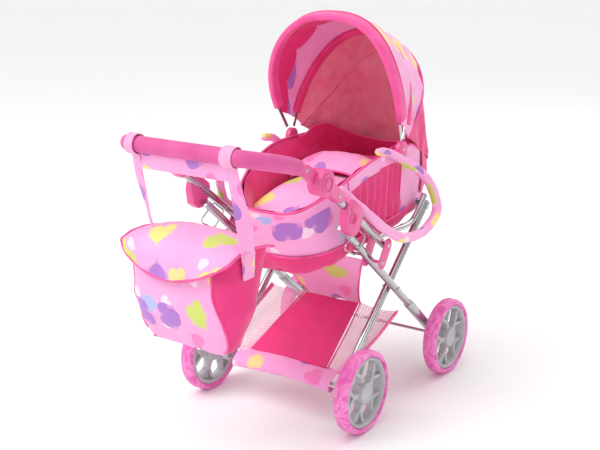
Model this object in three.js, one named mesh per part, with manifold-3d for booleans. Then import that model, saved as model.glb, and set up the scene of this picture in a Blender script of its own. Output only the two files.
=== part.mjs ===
// Doll stroller: scissor-leg chassis, folding handle, lift-off carrycot with a two-bow hood,
// shopping basket and hanging bag. Millimetres, +Z up, +Y towards the hood, +X to the right-hand side.
import * as THREE from 'three';
import { mergeVertices } from 'three/addons/utils/BufferGeometryUtils.js';
import Module from 'manifold-3d';

const wasm = await Module();
wasm.setup();

// ---- Driving dimensions -------------------------------------------------------------------
const WHEEL_DIAMETER = 155;
const TYRE_WIDTH = 29;
const TYRE_DEPTH = 12;            // tread to the seat on the rim
const RIM_DEPTH = 8.5;
const HUB_RADIUS = 19;
const TRACK = 351.4;              // between the middles of the left and right wheels
const WHEELBASE = 330.8;
const LEG_DIAMETER = 15;
const SEAT_TUBE_DIAMETER = 11;
const HANDLE_DIAMETER = 15;
const AXLE_DIAMETER = 6;
const RIVET_RADIUS = 3;
const GRIP_DIAMETER = 28;
const GRIP_WIDTH = 310;           // between the two ends of the grip, middle to middle
const COT_LENGTH = 446;
const COT_WIDTH = 240;
const HOOD_WIDTH = 314;
const HOOD_RISE = 254;            // hinge to the top of the front bow
const BAG_WIDTH = 235;
const BAG_HEIGHT = 178;
const BAG_DEPTH = 112;
const CLEARANCE = 0.4;            // between pieces that touch
const RUNNING = 0.4;              // round a pin in its hole
const LAYER_GAP = 0.6;            // between tubes that pass each other

// ---- Places that follow from them ----------------------------------------------------------
const wheelRadius = WHEEL_DIAMETER / 2;
const axleZ = wheelRadius;
const frontAxle = [WHEELBASE / 2, axleZ];
const rearAxle = [-WHEELBASE / 2, axleZ];
const wheelX = TRACK / 2;
const wheelInnerX = wheelX - TYRE_WIDTH / 2;
// side view points [y, z] of the linkage
const linkPivot = [-98, 304];     // fold link on the front leg
const seatRear = [-79, 332];      // seat tube, fold link and handle share this axis
const seatPivot = [136, 352];     // seat tube on the rear leg
const hub = [-284, 487];          // handle height joint
const gripZ = 545;
const gripY = -424;
const hoodPivot = [50, 482];
// layers across the stroller, from the wheels inwards
const legFrontX = wheelInnerX - 3.5 - LEG_DIAMETER / 2;
const linkThickness = 2.4;
const linkInnerX = legFrontX - LEG_DIAMETER / 2 - LAYER_GAP - linkThickness;
const seatTubeX = linkInnerX - LAYER_GAP - SEAT_TUBE_DIAMETER / 2;
const legRearX = legFrontX - 2.7 - LEG_DIAMETER;
const handleX = legFrontX + LEG_DIAMETER / 2 + LAYER_GAP + HANDLE_DIAMETER / 2;
const linkOuterX = handleX + HANDLE_DIAMETER / 2 + LAYER_GAP;

// ---- Materials --------------------------------------------------------------------------------
const finish = (color, roughness, metalness = 0) => new THREE.MeshStandardMaterial({ color, roughness, metalness });
const steel = finish(0xc9cacc, 0.25, 1);
const pinkPlastic = finish(0xe8619c, 0.45);
const foam = finish(0xe46aa6, 0.8);
const tyreFoam = finish(0xef7fc4, 0.7);
const greyPlastic = finish(0xb9babd, 0.5);
const printCloth = finish(0xf6bfe9, 0.9);
const hotPinkCloth = finish(0xea4593, 0.9);
const meshCloth = finish(0xf6dce6, 0.9);

// ---- Solids -------------------------------------------------------------------------------------
const V = (x, y, z) => new THREE.Vector3(x, y, z);
const root = new THREE.Group();

function add(name, geometry, material, position = V(0, 0, 0)) {
  const mesh = new THREE.Mesh(geometry, material);
  mesh.name = name;
  mesh.position.copy(position);
  root.add(mesh);
  return mesh;
}

function toManifold(geometry) {
  const bare = geometry.clone();
  bare.deleteAttribute('normal');
  bare.deleteAttribute('uv');
  const merged = mergeVertices(bare, 1e-4);
  return new wasm.Manifold(new wasm.Mesh({
    numProp: 3,
    vertProperties: Float32Array.from(merged.attributes.position.array),
    triVerts: Uint32Array.from(merged.index.array),
  }));
}

function toGeometry(manifold) {
  const mesh = manifold.getMesh();
  const geometry = new THREE.BufferGeometry();
  geometry.setAttribute('position', new THREE.BufferAttribute(Float32Array.from(mesh.vertProperties), 3));
  geometry.setIndex(new THREE.BufferAttribute(Uint32Array.from(mesh.triVerts), 1));
  return geometry;
}

const join = (...list) => toGeometry(list.map(toManifold).reduce((a, b) => a.add(b)));
const cut = (body, ...holes) => toGeometry(holes.map(toManifold).reduce((a, b) => a.subtract(b), toManifold(body)));

// closed body from points and triangles, turned so that its faces point outwards
function closedBody(points, triangles) {
  let volume = 0;
  for (const [a, b, c] of triangles) volume += points[a].dot(V(0, 0, 0).crossVectors(points[b], points[c]));
  const index = triangles.flatMap(([a, b, c]) => (volume < 0 ? [a, c, b] : [a, b, c]));
  const geometry = new THREE.BufferGeometry();
  geometry.setAttribute('position', new THREE.Float32BufferAttribute(points.flatMap((p) => [p.x, p.y, p.z]), 3));
  geometry.setIndex(index);
  return geometry;
}

// rings of equal length joined in order, the first and last closed by a fan
function loft(rings) {
  const n = rings[0].length;
  const points = rings.flat();
  const triangles = [];
  for (let i = 0; i + 1 < rings.length; i++) {
    for (let j = 0; j < n; j++) {
      const k = (j + 1) % n;
      const [a, b, c, d] = [i * n + j, i * n + k, (i + 1) * n + k, (i + 1) * n + j];
      triangles.push([a, b, c], [a, c, d]);
    }
  }
  for (const [start, flip] of [[0, true], [(rings.length - 1) * n, false]]) {
    const centre = V(0, 0, 0);
    for (let j = 0; j < n; j++) centre.addScaledVector(points[start + j], 1 / n);
    points.push(centre);
    const hubIndex = points.length - 1;
    for (let j = 0; j < n; j++) {
      const k = (j + 1) % n;
      triangles.push(flip ? [hubIndex, start + k, start + j] : [hubIndex, start + j, start + k]);
    }
  }
  return closedBody(points, triangles);
}

// thin sheet of even thickness over a grid of points
function sheet(grid, thickness) {
  const [m, n] = [grid.length, grid[0].length];
  const at = (i, j) => grid[Math.max(0, Math.min(m - 1, i))][Math.max(0, Math.min(n - 1, j))];
  const points = [];
  for (const side of [0.5, -0.5]) {
    for (let i = 0; i < m; i++) {
      for (let j = 0; j < n; j++) {
        const u = at(i + 1, j).clone().sub(at(i - 1, j));
        const v = at(i, j + 1).clone().sub(at(i, j - 1));
        points.push(grid[i][j].clone().addScaledVector(u.cross(v).normalize(), side * thickness));
      }
    }
  }
  const id = (s, i, j) => s * m * n + i * n + j;
  const triangles = [];
  const quad = (a, b, c, d) => triangles.push([a, b, c], [a, c, d]);
  for (let i = 0; i + 1 < m; i++) {
    for (let j = 0; j + 1 < n; j++) {
      quad(id(0, i, j), id(0, i + 1, j), id(0, i + 1, j + 1), id(0, i, j + 1));
      quad(id(1, i, j), id(1, i, j + 1), id(1, i + 1, j + 1), id(1, i + 1, j));
    }
  }
  for (let i = 0; i + 1 < m; i++) {
    quad(id(0, i, 0), id(1, i, 0), id(1, i + 1, 0), id(0, i + 1, 0));
    quad(id(0, i, n - 1), id(0, i + 1, n - 1), id(1, i + 1, n - 1), id(1, i, n - 1));
  }
  for (let j = 0; j + 1 < n; j++) {
    quad(id(0, 0, j), id(0, 0, j + 1), id(1, 0, j + 1), id(1, 0, j));
    quad(id(0, m - 1, j), id(1, m - 1, j), id(1, m - 1, j + 1), id(0, m - 1, j + 1));
  }
  return closedBody(points, triangles);
}

// plate with an outline of [y, z] points between two places across the stroller
function plate(outline, x0, x1) {
  const shape = new THREE.Shape(outline.map(([y, z]) => new THREE.Vector2(y, z)));
  const depth = Math.abs(x1 - x0);
  const geometry = new THREE.ExtrudeGeometry(shape, { depth, bevelEnabled: false });
  geometry.applyMatrix4(new THREE.Matrix4().makeBasis(V(0, 1, 0), V(0, 0, 1), V(1, 0, 0)));
  return geometry.translate(Math.min(x0, x1), 0, 0);
}

// outline round two circles, [y, z, radius] each
function capsule([ay, az, ar], [by, bz, br], steps = 8) {
  const heading = Math.atan2(bz - az, by - ay);
  const tilt = Math.asin((ar - br) / Math.hypot(by - ay, bz - az));
  const arc = (y, z, r, from, to) => Array.from({ length: steps + 1 }, (_, i) => {
    const angle = from + ((to - from) * i) / steps;
    return [y + r * Math.cos(angle), z + r * Math.sin(angle)];
  });
  const half = Math.PI / 2 - tilt;
  return [
    ...arc(by, bz, br, heading - half, heading + half),
    ...arc(ay, az, ar, heading + half, heading + 2 * Math.PI - half),
  ];
}

// cylinder along X
function pin(radius, x0, x1, [y, z], sides = 16) {
  const geometry = new THREE.CylinderGeometry(radius, radius, Math.abs(x1 - x0), sides);
  return geometry.rotateZ(Math.PI / 2).translate((x0 + x1) / 2, y, z);
}

// straight round bar between two points
function bar(from, to, radius, sides = 12) {
  const along = to.clone().sub(from);
  const geometry = new THREE.CylinderGeometry(radius, radius, along.length(), sides);
  const turn = new THREE.Quaternion().setFromUnitVectors(V(0, 1, 0), along.clone().normalize());
  const middle = from.clone().add(to).multiplyScalar(0.5);
  return geometry.applyQuaternion(turn).translate(middle.x, middle.y, middle.z);
}

const circle = (radius, sides) => Array.from({ length: sides }, (_, i) => {
  const angle = (2 * Math.PI * i) / sides;
  return new THREE.Vector2(radius * Math.cos(angle), radius * Math.sin(angle));
});

// round tube along a curve, hollow where a bore is given
function tube(curve, radius, steps, sides = 10, bore = 0) {
  const shape = new THREE.Shape(circle(radius, sides));
  if (bore > 0) shape.holes.push(new THREE.Path(circle(bore, sides)));
  return new THREE.ExtrudeGeometry(shape, { steps, extrudePath: curve, bevelEnabled: false });
}

const smooth = (points) => new THREE.CatmullRomCurve3(points, false, 'centripetal');
const lerp = (a, b, t) => a + (b - a) * t;
const between = (a, b, t) => [lerp(a[0], b[0], t), lerp(a[1], b[1], t)];
const distance = (a, b) => Math.hypot(b[0] - a[0], b[1] - a[1]);
const step = (a, b, length) => between(a, b, length / distance(a, b));

// crossing of the two leg lines in side view
function crossing([a, b], [c, d]) {
  const [rx, ry, sx, sy] = [b[0] - a[0], b[1] - a[1], d[0] - c[0], d[1] - c[1]];
  const t = ((c[0] - a[0]) * sy - (c[1] - a[1]) * sx) / (rx * sy - ry * sx);
  return between(a, b, t);
}
const crossPivot = crossing([frontAxle, linkPivot], [rearAxle, seatPivot]);

// ---- Chassis ---------------------------------------------------------------------------------------
const legRadius = LEG_DIAMETER / 2;
const footRadius = 10;
const footGap = footRadius + 4;   // from the axle to the end of the leg tube
const lockMiddle = step(seatRear, hub, 144);
const drill = (place) => pin(RIVET_RADIUS + RUNNING, 110, 200, place);
const drillLeft = (place) => pin(RIVET_RADIUS + RUNNING, -200, -110, place);

function legTube(x, lower, upper, ...holes) {
  const body = bar(V(x, ...lower), V(x, ...upper), legRadius);
  return cut(body, ...holes.map((place) => (x > 0 ? drill(place) : drillLeft(place))));
}

function foot(x, sideways, axle, legEnd) {
  const outline = capsule([...axle, footRadius], [...step(axle, legEnd, footGap - 6.5), 6]);
  const half = sideways / 2;
  return cut(plate(outline, x - half, x + half), pin(AXLE_DIAMETER / 2 + RUNNING, x - 40, x + 40, axle));
}

const legExtension = step(linkPivot, frontAxle, -distance(lockMiddle, seatRear) + 10);
for (const [side, s] of [['right', 1], ['left', -1]]) {
  add(`front_leg_${side}`, legTube(s * legFrontX, step(frontAxle, linkPivot, footGap), legExtension,
    crossPivot, linkPivot), steel);
  const rearTube = legTube(s * legRearX, step(rearAxle, seatPivot, footGap), step(seatPivot, rearAxle, -8), crossPivot);
  const seatRivet = pin(RIVET_RADIUS, s * (legRearX - legRadius - 5), s * (legRearX + legRadius + 2), seatPivot);
  add(`rear_leg_${side}`, join(rearTube, seatRivet), steel);
  add(`front_foot_${side}`, foot(s * legFrontX, 13, frontAxle, linkPivot), greyPlastic);
  add(`rear_foot_${side}`, foot(s * legRearX, 13, rearAxle, seatPivot), greyPlastic);
  add(`cross_rivet_${side}`, pin(RIVET_RADIUS, s * (legRearX - legRadius - 2), s * (legFrontX + legRadius + 2.4),
    crossPivot), steel);
}
const hubFloor = TYRE_WIDTH / 2 - 6;          // blind end of a hub's bore, from the middle of its wheel
const axleHalf = wheelX + hubFloor - CLEARANCE;
add('front_axle', pin(AXLE_DIAMETER / 2, -axleHalf, axleHalf, frontAxle), steel);
add('rear_axle', pin(AXLE_DIAMETER / 2, -axleHalf, axleHalf, rearAxle), steel);

// ---- Wheels: foam tyre and spoked rim with a closed hub -----------------------------------------------------------
const SPOKES = 5;
const rimRadius = wheelRadius - TYRE_DEPTH;
const rimInner = rimRadius - RIM_DEPTH;

function ringAboutX(profile, segments) {
  const points = profile.map(([radius, x]) => new THREE.Vector2(radius, x));
  return new THREE.LatheGeometry([...points, points[0]], segments).rotateZ(-Math.PI / 2);
}

function tyre() {
  const half = TYRE_WIDTH / 2;
  const tread = wheelRadius;
  const seat = rimRadius + CLEARANCE;
  return ringAboutX([[seat, -half + 4], [tread - 6, -half], [tread, -half + 7], [tread, half - 7],
    [tread - 6, half], [seat, half - 4]], 28);
}

function rim(s) {
  const half = TYRE_WIDTH / 2 - 4;
  const ring = ringAboutX([[rimInner, -half], [rimRadius, -half], [rimRadius, half], [rimInner, half]], 28);
  const parts = [ring, pin(HUB_RADIUS, -s * half, s * half, [0, 0], 16), pin(HUB_RADIUS - 4, 0, s * (half + 3), [0, 0], 16)];
  for (let i = 0; i < SPOKES; i++) {
    const spoke = new THREE.BoxGeometry(9, 9, rimInner - HUB_RADIUS + 6)
      .translate(0, 0, (rimInner + HUB_RADIUS) / 2);
    parts.push(spoke.rotateX((2 * Math.PI * (i + 0.2)) / SPOKES));
  }
  return cut(join(...parts), pin(AXLE_DIAMETER / 2 + RUNNING, -s * 40, s * hubFloor, [0, 0]));
}

for (const [side, s] of [['right', 1], ['left', -1]]) {
  for (const [end, axle] of [['front', frontAxle], ['rear', rearAxle]]) {
    const place = V(s * wheelX, ...axle);
    add(`tyre_${end}_${side}`, tyre(), tyreFoam, place);
    add(`rim_${end}_${side}`, rim(s), greyPlastic, place);
  }
}

// ---- Seat frame: side tubes, cradle rods and pivot tabs --------------------------------------------------
const seatRadius = SEAT_TUBE_DIAMETER / 2;
const seatBend = [92, 331];
const seatTop = [137, 377];
const cradleRadius = 3;
const cradles = [[62, 12], [-42, 34]];    // place along the seat tube, drop below it

function seatTube(x) {
  const curve = smooth([V(x, ...seatRear), V(x, 0, 331.5), V(x, seatBend[0] - 16, seatBend[1] + 0.3),
    V(x, seatBend[0] + 2, seatBend[1] + 7), V(x, 113, 353), V(x, ...seatTop)]);
  const s = Math.sign(x);
  const tabInner = legRearX - legRadius - LAYER_GAP - linkThickness;
  const foot1 = step(seatPivot, seatBend, 1);
  const across = [seatPivot[0] - 12, seatPivot[1] + 12];
  const tab = plate(capsule([...seatPivot, 8], [...across, 7]), s * tabInner, s * (tabInner + linkThickness));
  const boss = pin(4.5, s * tabInner, s * seatTubeX, across);
  return cut(join(tube(curve, seatRadius, 12, 8), tab, boss), s > 0 ? drill(seatPivot) : drillLeft(seatPivot));
}

function cradleRod(y, drop) {
  const end = seatTubeX - seatRadius - 1;
  const z = seatBend[1];
  return tube(smooth([V(end, y, z), V(end - 7, y, z - 5), V(end - 16, y, z - drop), V(0, y, z - drop),
    V(-end + 16, y, z - drop), V(-end + 7, y, z - 5), V(-end, y, z)]), cradleRadius, 16, 6);
}

for (const [side, s] of [['right', 1], ['left', -1]]) {
  add(`seat_tube_${side}`, seatTube(s * seatTubeX), steel);
}
cradles.forEach(([y, drop], i) => add(`cradle_rod_${i ? 'rear' : 'front'}`, cradleRod(y, drop), steel));

// ---- Fold links ---------------------------------------------------------------------------------------------
for (const [side, s] of [['right', 1], ['left', -1]]) {
  const outline = capsule([...linkPivot, 13], [...seatRear, 13]);
  const outer = plate(outline, s * linkOuterX, s * (linkOuterX + linkThickness));
  const inner = plate(outline, s * linkInnerX, s * (linkInnerX + linkThickness));
  const rivet = pin(RIVET_RADIUS, s * (linkInnerX + 0.2), s * (linkOuterX + linkThickness + 1.5), linkPivot);
  add(`fold_link_outer_${side}`, cut(outer, s > 0 ? drill(linkPivot) : drillLeft(linkPivot)), pinkPlastic);
  add(`fold_link_inner_${side}`, join(inner, rivet), pinkPlastic);
}

// ---- Handle: side tubes, sliding locks with buttons, wire catches ------------------------------------------
const handleRadius = HANDLE_DIAMETER / 2;
const neckEnd = step(hub, seatRear, 52);           // where the tube enters the height joint
const lockFace = linkOuterX + 4;                   // outer face of a lock
const CATCH_WIRE = 1.3;
const catchInner = legFrontX + legRadius + LAYER_GAP;
const lockInner = catchInner + 2 * CATCH_WIRE + LAYER_GAP;
const BUTTON_RADIUS = 8;
const BUTTON_TRAVEL = 3;

// point beside the handle tube: along it from the seat pivot, and square to it, upwards positive
function besideHandle(along, up) {
  const [uy, uz] = [(hub[0] - seatRear[0]) / distance(seatRear, hub), (hub[1] - seatRear[1]) / distance(seatRear, hub)];
  return [seatRear[0] + uy * along + uz * up, seatRear[1] + uz * along - uy * up];
}

for (const [side, s] of [['right', 1], ['left', -1]]) {
  const x = s * handleX;
  const tubeEnd = step(neckEnd, hub, 16);
  add(`handle_tube_${side}`, bar(V(x, ...seatRear), V(x, ...tubeEnd), handleRadius), steel);

  const outline = [[118, -30], [128, -38], [146, -38], [166, -18], [174, 4], [170, 13], [160, 16], [128, 16], [119, 8],
    [114, -8]].map(([along, up]) => besideHandle(along, up));
  const recess = besideHandle(146, -12);
  const bore = bar(V(x, ...besideHandle(90, 0)), V(x, ...besideHandle(200, 0)), handleRadius + CLEARANCE, 16);
  const body = plate(outline, s * lockInner, s * lockFace);
  add(`fold_lock_${side}`, cut(body, bore, pin(BUTTON_RADIUS + CLEARANCE, s * (lockFace - 6), s * (lockFace + 5),
    recess, 20)), pinkPlastic);
  add(`lock_button_${side}`, pin(BUTTON_RADIUS, s * (lockFace - 5.6 + BUTTON_TRAVEL), s * (lockFace + 0.5), recess, 20),
    pinkPlastic);

  const wireX = s * (catchInner + CATCH_WIRE);
  const corner = (along, up) => V(wireX, ...besideHandle(along, up));
  const loop = [corner(58, -11), corner(98, -11), corner(112, -58), corner(68, -52)];
  const path = new THREE.CatmullRomCurve3(loop.flatMap((point, i) => {
    const next = loop[(i + 1) % loop.length];
    return [point.clone().lerp(next, 0.12), point.clone().lerp(next, 0.5), point.clone().lerp(next, 0.88)];
  }), true, 'centripetal');
  add(`lock_catch_${side}`, tube(path, CATCH_WIRE, 20, 5), steel);
}

// ---- Height joint and grip ------------------------------------------------------------------------------------
const HUB_DISC = 22.5;
const armEnd = [-322, 514];
const gripStart = [-334, 520];
const hubHalf = 13;

for (const [side, s] of [['right', 1], ['left', -1]]) {
  const middle = s * handleX;
  const [inner, outer] = [middle - s * hubHalf, middle + s * hubHalf];
  const seam = middle;
  const neck = plate(capsule([...hub, 12], [...neckEnd, 10.5]), seam + s * CLEARANCE, outer);
  const sleeve = bar(V(middle, ...step(neckEnd, hub, -3)), V(middle, ...step(neckEnd, hub, 25)), 10.8, 16);
  const disc = pin(HUB_DISC, seam + s * CLEARANCE, outer, hub, 28);
  const tubeBore = bar(V(middle, ...step(neckEnd, hub, -30)), V(middle, ...step(neckEnd, hub, 16 + CLEARANCE)),
    handleRadius + CLEARANCE, 16);
  const turning = pin(HUB_DISC + 0.6, seam + s * CLEARANCE, inner - s * 5, hub, 28);
  add(`hub_lower_${side}`, cut(join(disc, neck, sleeve), tubeBore, turning), pinkPlastic);

  const upperDisc = pin(HUB_DISC - 1, inner, seam, hub, 28);
  const arm = plate(capsule([...hub, 12], [...armEnd, 9.5]), inner + s * 1.5, seam);
  add(`hub_upper_${side}`, join(upperDisc, arm), pinkPlastic);
}

const gripHalf = GRIP_WIDTH / 2;
const gripEnd = handleX - 10.8;                     // the grip starts between the arms of the height joints
const gripCorner = [[gripEnd, ...gripStart], [(gripEnd + gripHalf) / 2 - 2, -362, 529], [gripHalf - 8, -391, 537],
  [gripHalf - 20, -411, 542], [gripHalf - 40, gripY, gripZ], [gripHalf - 70, gripY, gripZ]];
const gripPath = smooth([...gripCorner.map(([x, y, z]) => V(x, y, z)),
  ...gripCorner.toReversed().map(([x, y, z]) => V(-x, y, z))]);
const gripSteps = Math.round(GRIP_WIDTH / 12);
add('grip_core', tube(gripPath, 7, gripSteps, 8), steel);
add('grip_foam', tube(gripPath, GRIP_DIAMETER / 2, gripSteps, 10, 7 + CLEARANCE + 0.4), foam);

// ---- Carrycot -------------------------------------------------------------------------------------------------
const cotFoot = -213;
const cotHead = cotFoot + COT_LENGTH;
const COT_WALL = 5;
const baseZ = (y) => 292 + 0.16 * (y - cotFoot) * 0.78;
const rimZ = (y) => {
  const t = (y - cotFoot) / COT_LENGTH;
  return 396 + 84 * Math.sin(Math.PI * 0.5 * Math.min(1, t / 0.52)) - 62 * Math.max(0, t - 0.72) / 0.28;
};

// outline of the cot seen from above, squarer at the head
function cotRing(inset, level) {
  const n = 32;
  return Array.from({ length: n }, (_, i) => {
    const angle = (2 * Math.PI * i) / n;
    const [c, sn] = [Math.cos(angle), Math.sin(angle)];
    const power = sn < 0 ? 0.62 : 0.5;
    const halfWidth = COT_WIDTH / 2 - inset - (sn > 0 ? 8 * sn : 14 * -sn) - 5 * (1 - level);
    const halfLength = COT_LENGTH / 2 - inset - (sn < 0 ? 26 * (1 - level) : 6 * (1 - level));
    const x = halfWidth * Math.sign(c) * Math.abs(c) ** power;
    const y = (cotFoot + cotHead) / 2 + halfLength * Math.sign(sn) * Math.abs(sn) ** power;
    return V(x, y, lerp(baseZ(y), rimZ(y), level));
  });
}

function cotShell() {
  const outer = [0, 0.12, 0.4, 0.7, 1].map((level) => cotRing(level === 0 ? 12 : 0, level));
  const inner = [1, 0.7, 0.4, 0.14].map((level) => cotRing(COT_WALL, level));
  inner[0].forEach((point) => { point.z -= 0.5; });
  return loft([...outer, ...inner]);
}
add('cot_shell', cotShell(), printCloth);

function pad(y0, y1, halfWidth, thickness, lift) {
  const rows = 7;
  return loft([0, 0.5, 1].map((level) => Array.from({ length: 24 }, (_, i) => {
    const angle = (2 * Math.PI * i) / 24;
    const [c, sn] = [Math.cos(angle), Math.sin(angle)];
    const shrink = level === 0.5 ? 0 : rows;
    const x = (halfWidth - shrink) * Math.sign(c) * Math.abs(c) ** 0.5;
    const y = (y0 + y1) / 2 + ((y1 - y0) / 2 - shrink) * Math.sign(sn) * Math.abs(sn) ** 0.5;
    return V(x, y, baseZ(y) + lift + thickness * level);
  })));
}
const padEnd = cotHead - 27;
const pillowStart = padEnd - 126;
add('quilt', pad(cotFoot + 41, pillowStart - 14, 94, 74, 28), printCloth);
add('pillow', pad(pillowStart, padEnd, 90, 64, 28), printCloth);

for (const [side, s] of [['right', 1], ['left', -1]]) {
  const x = s * 185;
  const path = smooth([V(s * 133, -177, 452), V(s * 160, -140, 408), V(x, -92, 362), V(x, -30, 336), V(x, 44, 334),
    V(s * 180, 100, 362), V(s * 166, 98, 406), V(s * 152, 72, 440), V(s * 142, 32, 464), V(s * 131, -10, 486), V(s * 130, -42, 492)]);
  add(`carry_handle_${side}`, tube(path, 7.5, 26, 8), printCloth);
}

// ---- Hood: hinge blocks, two spring-steel bows and the canopy -----------------------------------------------------
const FRONT_LEAN = 13;            // degrees forward of upright
const MID_LEAN = -20.6;
const HEAD_LEAN = -47;
const BOW_WIDTH = 8;
const BOW_THICKNESS = 1.6;
const HINGE_RADIUS = 15.5;
const CLOTH = 2;
const hoodHalf = HOOD_WIDTH / 2;
const hingeX = COT_WIDTH / 2 + 6;

// arch over the cot in a plane through the hinge line, drawn in to the hinge at its feet
function arch(halfWidth, rise, power, lean, bulge, count, from) {
  const angle = (lean * Math.PI) / 180;
  return Array.from({ length: count }, (_, i) => {
    const phi = from + ((Math.PI - 2 * from) * i) / (count - 1);
    const t = Math.abs(Math.sin(phi)) ** (2 / power);
    const draw = lerp(hingeX / halfWidth, 1, 1 - (1 - t) ** 3);
    const x = draw * halfWidth * Math.sign(Math.cos(phi)) * Math.abs(Math.cos(phi)) ** (2 / power);
    const y = hoodPivot[0] - rise * t * Math.sin(angle) - bulge * Math.sin(Math.PI * t);
    return V(x, y, hoodPivot[1] + rise * t * Math.cos(angle));
  });
}

function bow(halfWidth, rise, power, lean, bulge) {
  const from = Math.asin(((HINGE_RADIUS + 3) / rise) ** (power / 2));
  const line = arch(halfWidth, rise, power, lean, bulge, 21, from);
  const angle = (lean * Math.PI) / 180;
  const forward = V(0, -Math.cos(angle), -Math.sin(angle)).multiplyScalar(BOW_WIDTH / 2);
  return sheet([line.map((p) => p.clone().sub(forward)), line.map((p) => p.clone().add(forward))], BOW_THICKNESS);
}
const frontArch = { halfWidth: hoodHalf, rise: HOOD_RISE, power: 2.5, lean: FRONT_LEAN, bulge: 22 };
const midArch = { halfWidth: hoodHalf - 20, rise: HOOD_RISE - 28, power: 2.1, lean: MID_LEAN, bulge: 0 };
const headArch = { halfWidth: hoodHalf - 36, rise: HOOD_RISE, power: 1.7, lean: HEAD_LEAN, bulge: -34 };
const inside = 7;                 // bows lie this far inside the canopy
const bowOf = (a) => bow(a.halfWidth - inside, a.rise - inside, a.power, a.lean, a.bulge);
const archRow = (a, b, t, count) => arch(lerp(a.halfWidth, b.halfWidth, t), lerp(a.rise, b.rise, t),
  lerp(a.power, b.power, t), lerp(a.lean, b.lean, t), lerp(a.bulge, b.bulge, t), count, 0.14);
add('hood_front_bow', bowOf(frontArch), steel);
add('hood_mid_bow', bowOf(midArch), steel);

const canopyPoints = 17;
add('canopy_front', sheet([0, 0.33, 0.66, 0.99].map((t) => archRow(frontArch, midArch, t, canopyPoints)), CLOTH),
  hotPinkCloth);
const crown = [0.02, 0.5, 1].map((t) => archRow(midArch, headArch, t, canopyPoints));
const headWall = [0.35, 0.7, 1].map((t) => crown[2].map((p) => {
  const foldIn = V(p.x * 0.93, cotHead + 7 - 0.0007 * p.x * p.x, rimZ(cotHead) + 8);
  return p.clone().lerp(foldIn, t).add(V(0, 14 * Math.sin(Math.PI * t), 0));
}));
add('canopy_rear', sheet([...crown, ...headWall], CLOTH), printCloth);

for (const [side, s] of [['right', 1], ['left', -1]]) {
  const block = plate(capsule([...hoodPivot, HINGE_RADIUS], [hoodPivot[0], hoodPivot[1] - 12, 13]),
    s * (COT_WIDTH / 2 + 1), s * (COT_WIDTH / 2 + 12));
  add(`hood_hinge_${side}`, block, pinkPlastic);
}

// ---- Shopping basket under the cot ----------------------------------------------------------------------------------
const boardRear = [-146, 92];
const boardFront = [7, 168];
const boardRearHalf = 86;
const boardFrontHalf = 62;
const boardRows = [0, 0.5, 1].map((t) => {
  const [y, z] = between(boardRear, boardFront, t);
  const half = lerp(boardRearHalf, boardFrontHalf, t);
  return [V(half, y, z), V(0, y, z), V(-half, y, z)];
});
add('basket_board', sheet(boardRows, 4), hotPinkCloth);
const panelTop = [linkPivot[0] + 26, linkPivot[1] - 12];
add('basket_panel', sheet([0, 0.35, 0.7, 1].map((t) => {
  const [y, z] = between([boardFront[0] + 5, boardFront[1] + 4], panelTop, t);
  const half = lerp(boardFrontHalf, 118, t ** 1.3);
  return [1, 0.5, 0, -0.5, -1].map((u) => V(half * u, y + 6 * (1 - u * u) * Math.sin(Math.PI * t), z));
}), CLOTH), printCloth);
// height of the rear leg's middle line; the net sides pass under it
const rearLegZ = (y) => lerp(rearAxle[1], seatPivot[1], (y - rearAxle[0]) / (seatPivot[0] - rearAxle[0]));
for (const [side, s] of [['right', 1], ['left', -1]]) {
  const outerEdge = [V(s * (legRearX - legRadius - 7), -150, rearLegZ(-150) + 8 - legRadius),
    V(s * 143, -76, rearLegZ(-76) - 3.32 * legRadius), V(s * 148, 10, rearLegZ(10) - 8.7 * legRadius)];
  const innerEdge = [V(s * 90, -142, 96), V(s * 80, -70, 133), V(s * 68, 8, 176)];
  const rows = outerEdge.map((p, i) => [0, 0.5, 1].map((t) => p.clone().lerp(innerEdge[i], t)
    .add(V(0, 0, -4 * Math.sin(Math.PI * t)))));
  add(`basket_side_${side}`, sheet(rows, CLOTH), meshCloth);
}

// ---- Bag on the grip: body, flap and strap with its loops ---------------------------------------------------------------
const bagX = -19;
const bagTop = 384;
const bagBottom = bagTop - BAG_HEIGHT;
const bagFrontY = -430;
const bagHalf = BAG_WIDTH / 2;

function bagRing(t, inset) {
  const half = lerp(bagHalf - 26, bagHalf, Math.min(1, t * 2.2) ** 0.6) - inset;
  const front = bagFrontY + 16 * (1 - t) ** 2 + inset;
  const back = lerp(bagFrontY + 26, bagFrontY + BAG_DEPTH, t ** 0.8) - inset;
  const n = 24;
  return Array.from({ length: n }, (_, i) => {
    const angle = (2 * Math.PI * i) / n;
    const [c, sn] = [Math.cos(angle), Math.sin(angle)];
    return V(bagX + half * Math.sign(c) * Math.abs(c) ** 0.4,
      (front + back) / 2 + ((back - front) / 2) * Math.sign(sn) * Math.abs(sn) ** 0.6, lerp(bagBottom, bagTop, t));
  });
}
add('bag_body', loft([...[0, 0.15, 0.5, 1].map((t) => bagRing(t, 0)), ...[1, 0.5, 0.15].map((t) => bagRing(t, 3))]),
  printCloth);

const flapHinge = [bagFrontY + BAG_DEPTH - 4, bagTop + 3];
add('bag_flap', sheet([[flapHinge[0], bagTop + 3], [bagFrontY + 55, bagTop + 7], [bagFrontY - 1, bagTop + 2],
  [bagFrontY - 5, bagTop - 34], [bagFrontY - 6, bagTop - 72]].map(([y, z], i) => [-1, -0.5, 0, 0.5, 1].map((u) => {
  const drop = i > 2 ? (i - 2) * 14 * (1 - u * u) : 0;
  return V(bagX + (bagHalf - 1) * u, y, z - drop);
})), CLOTH), printCloth);

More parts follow.
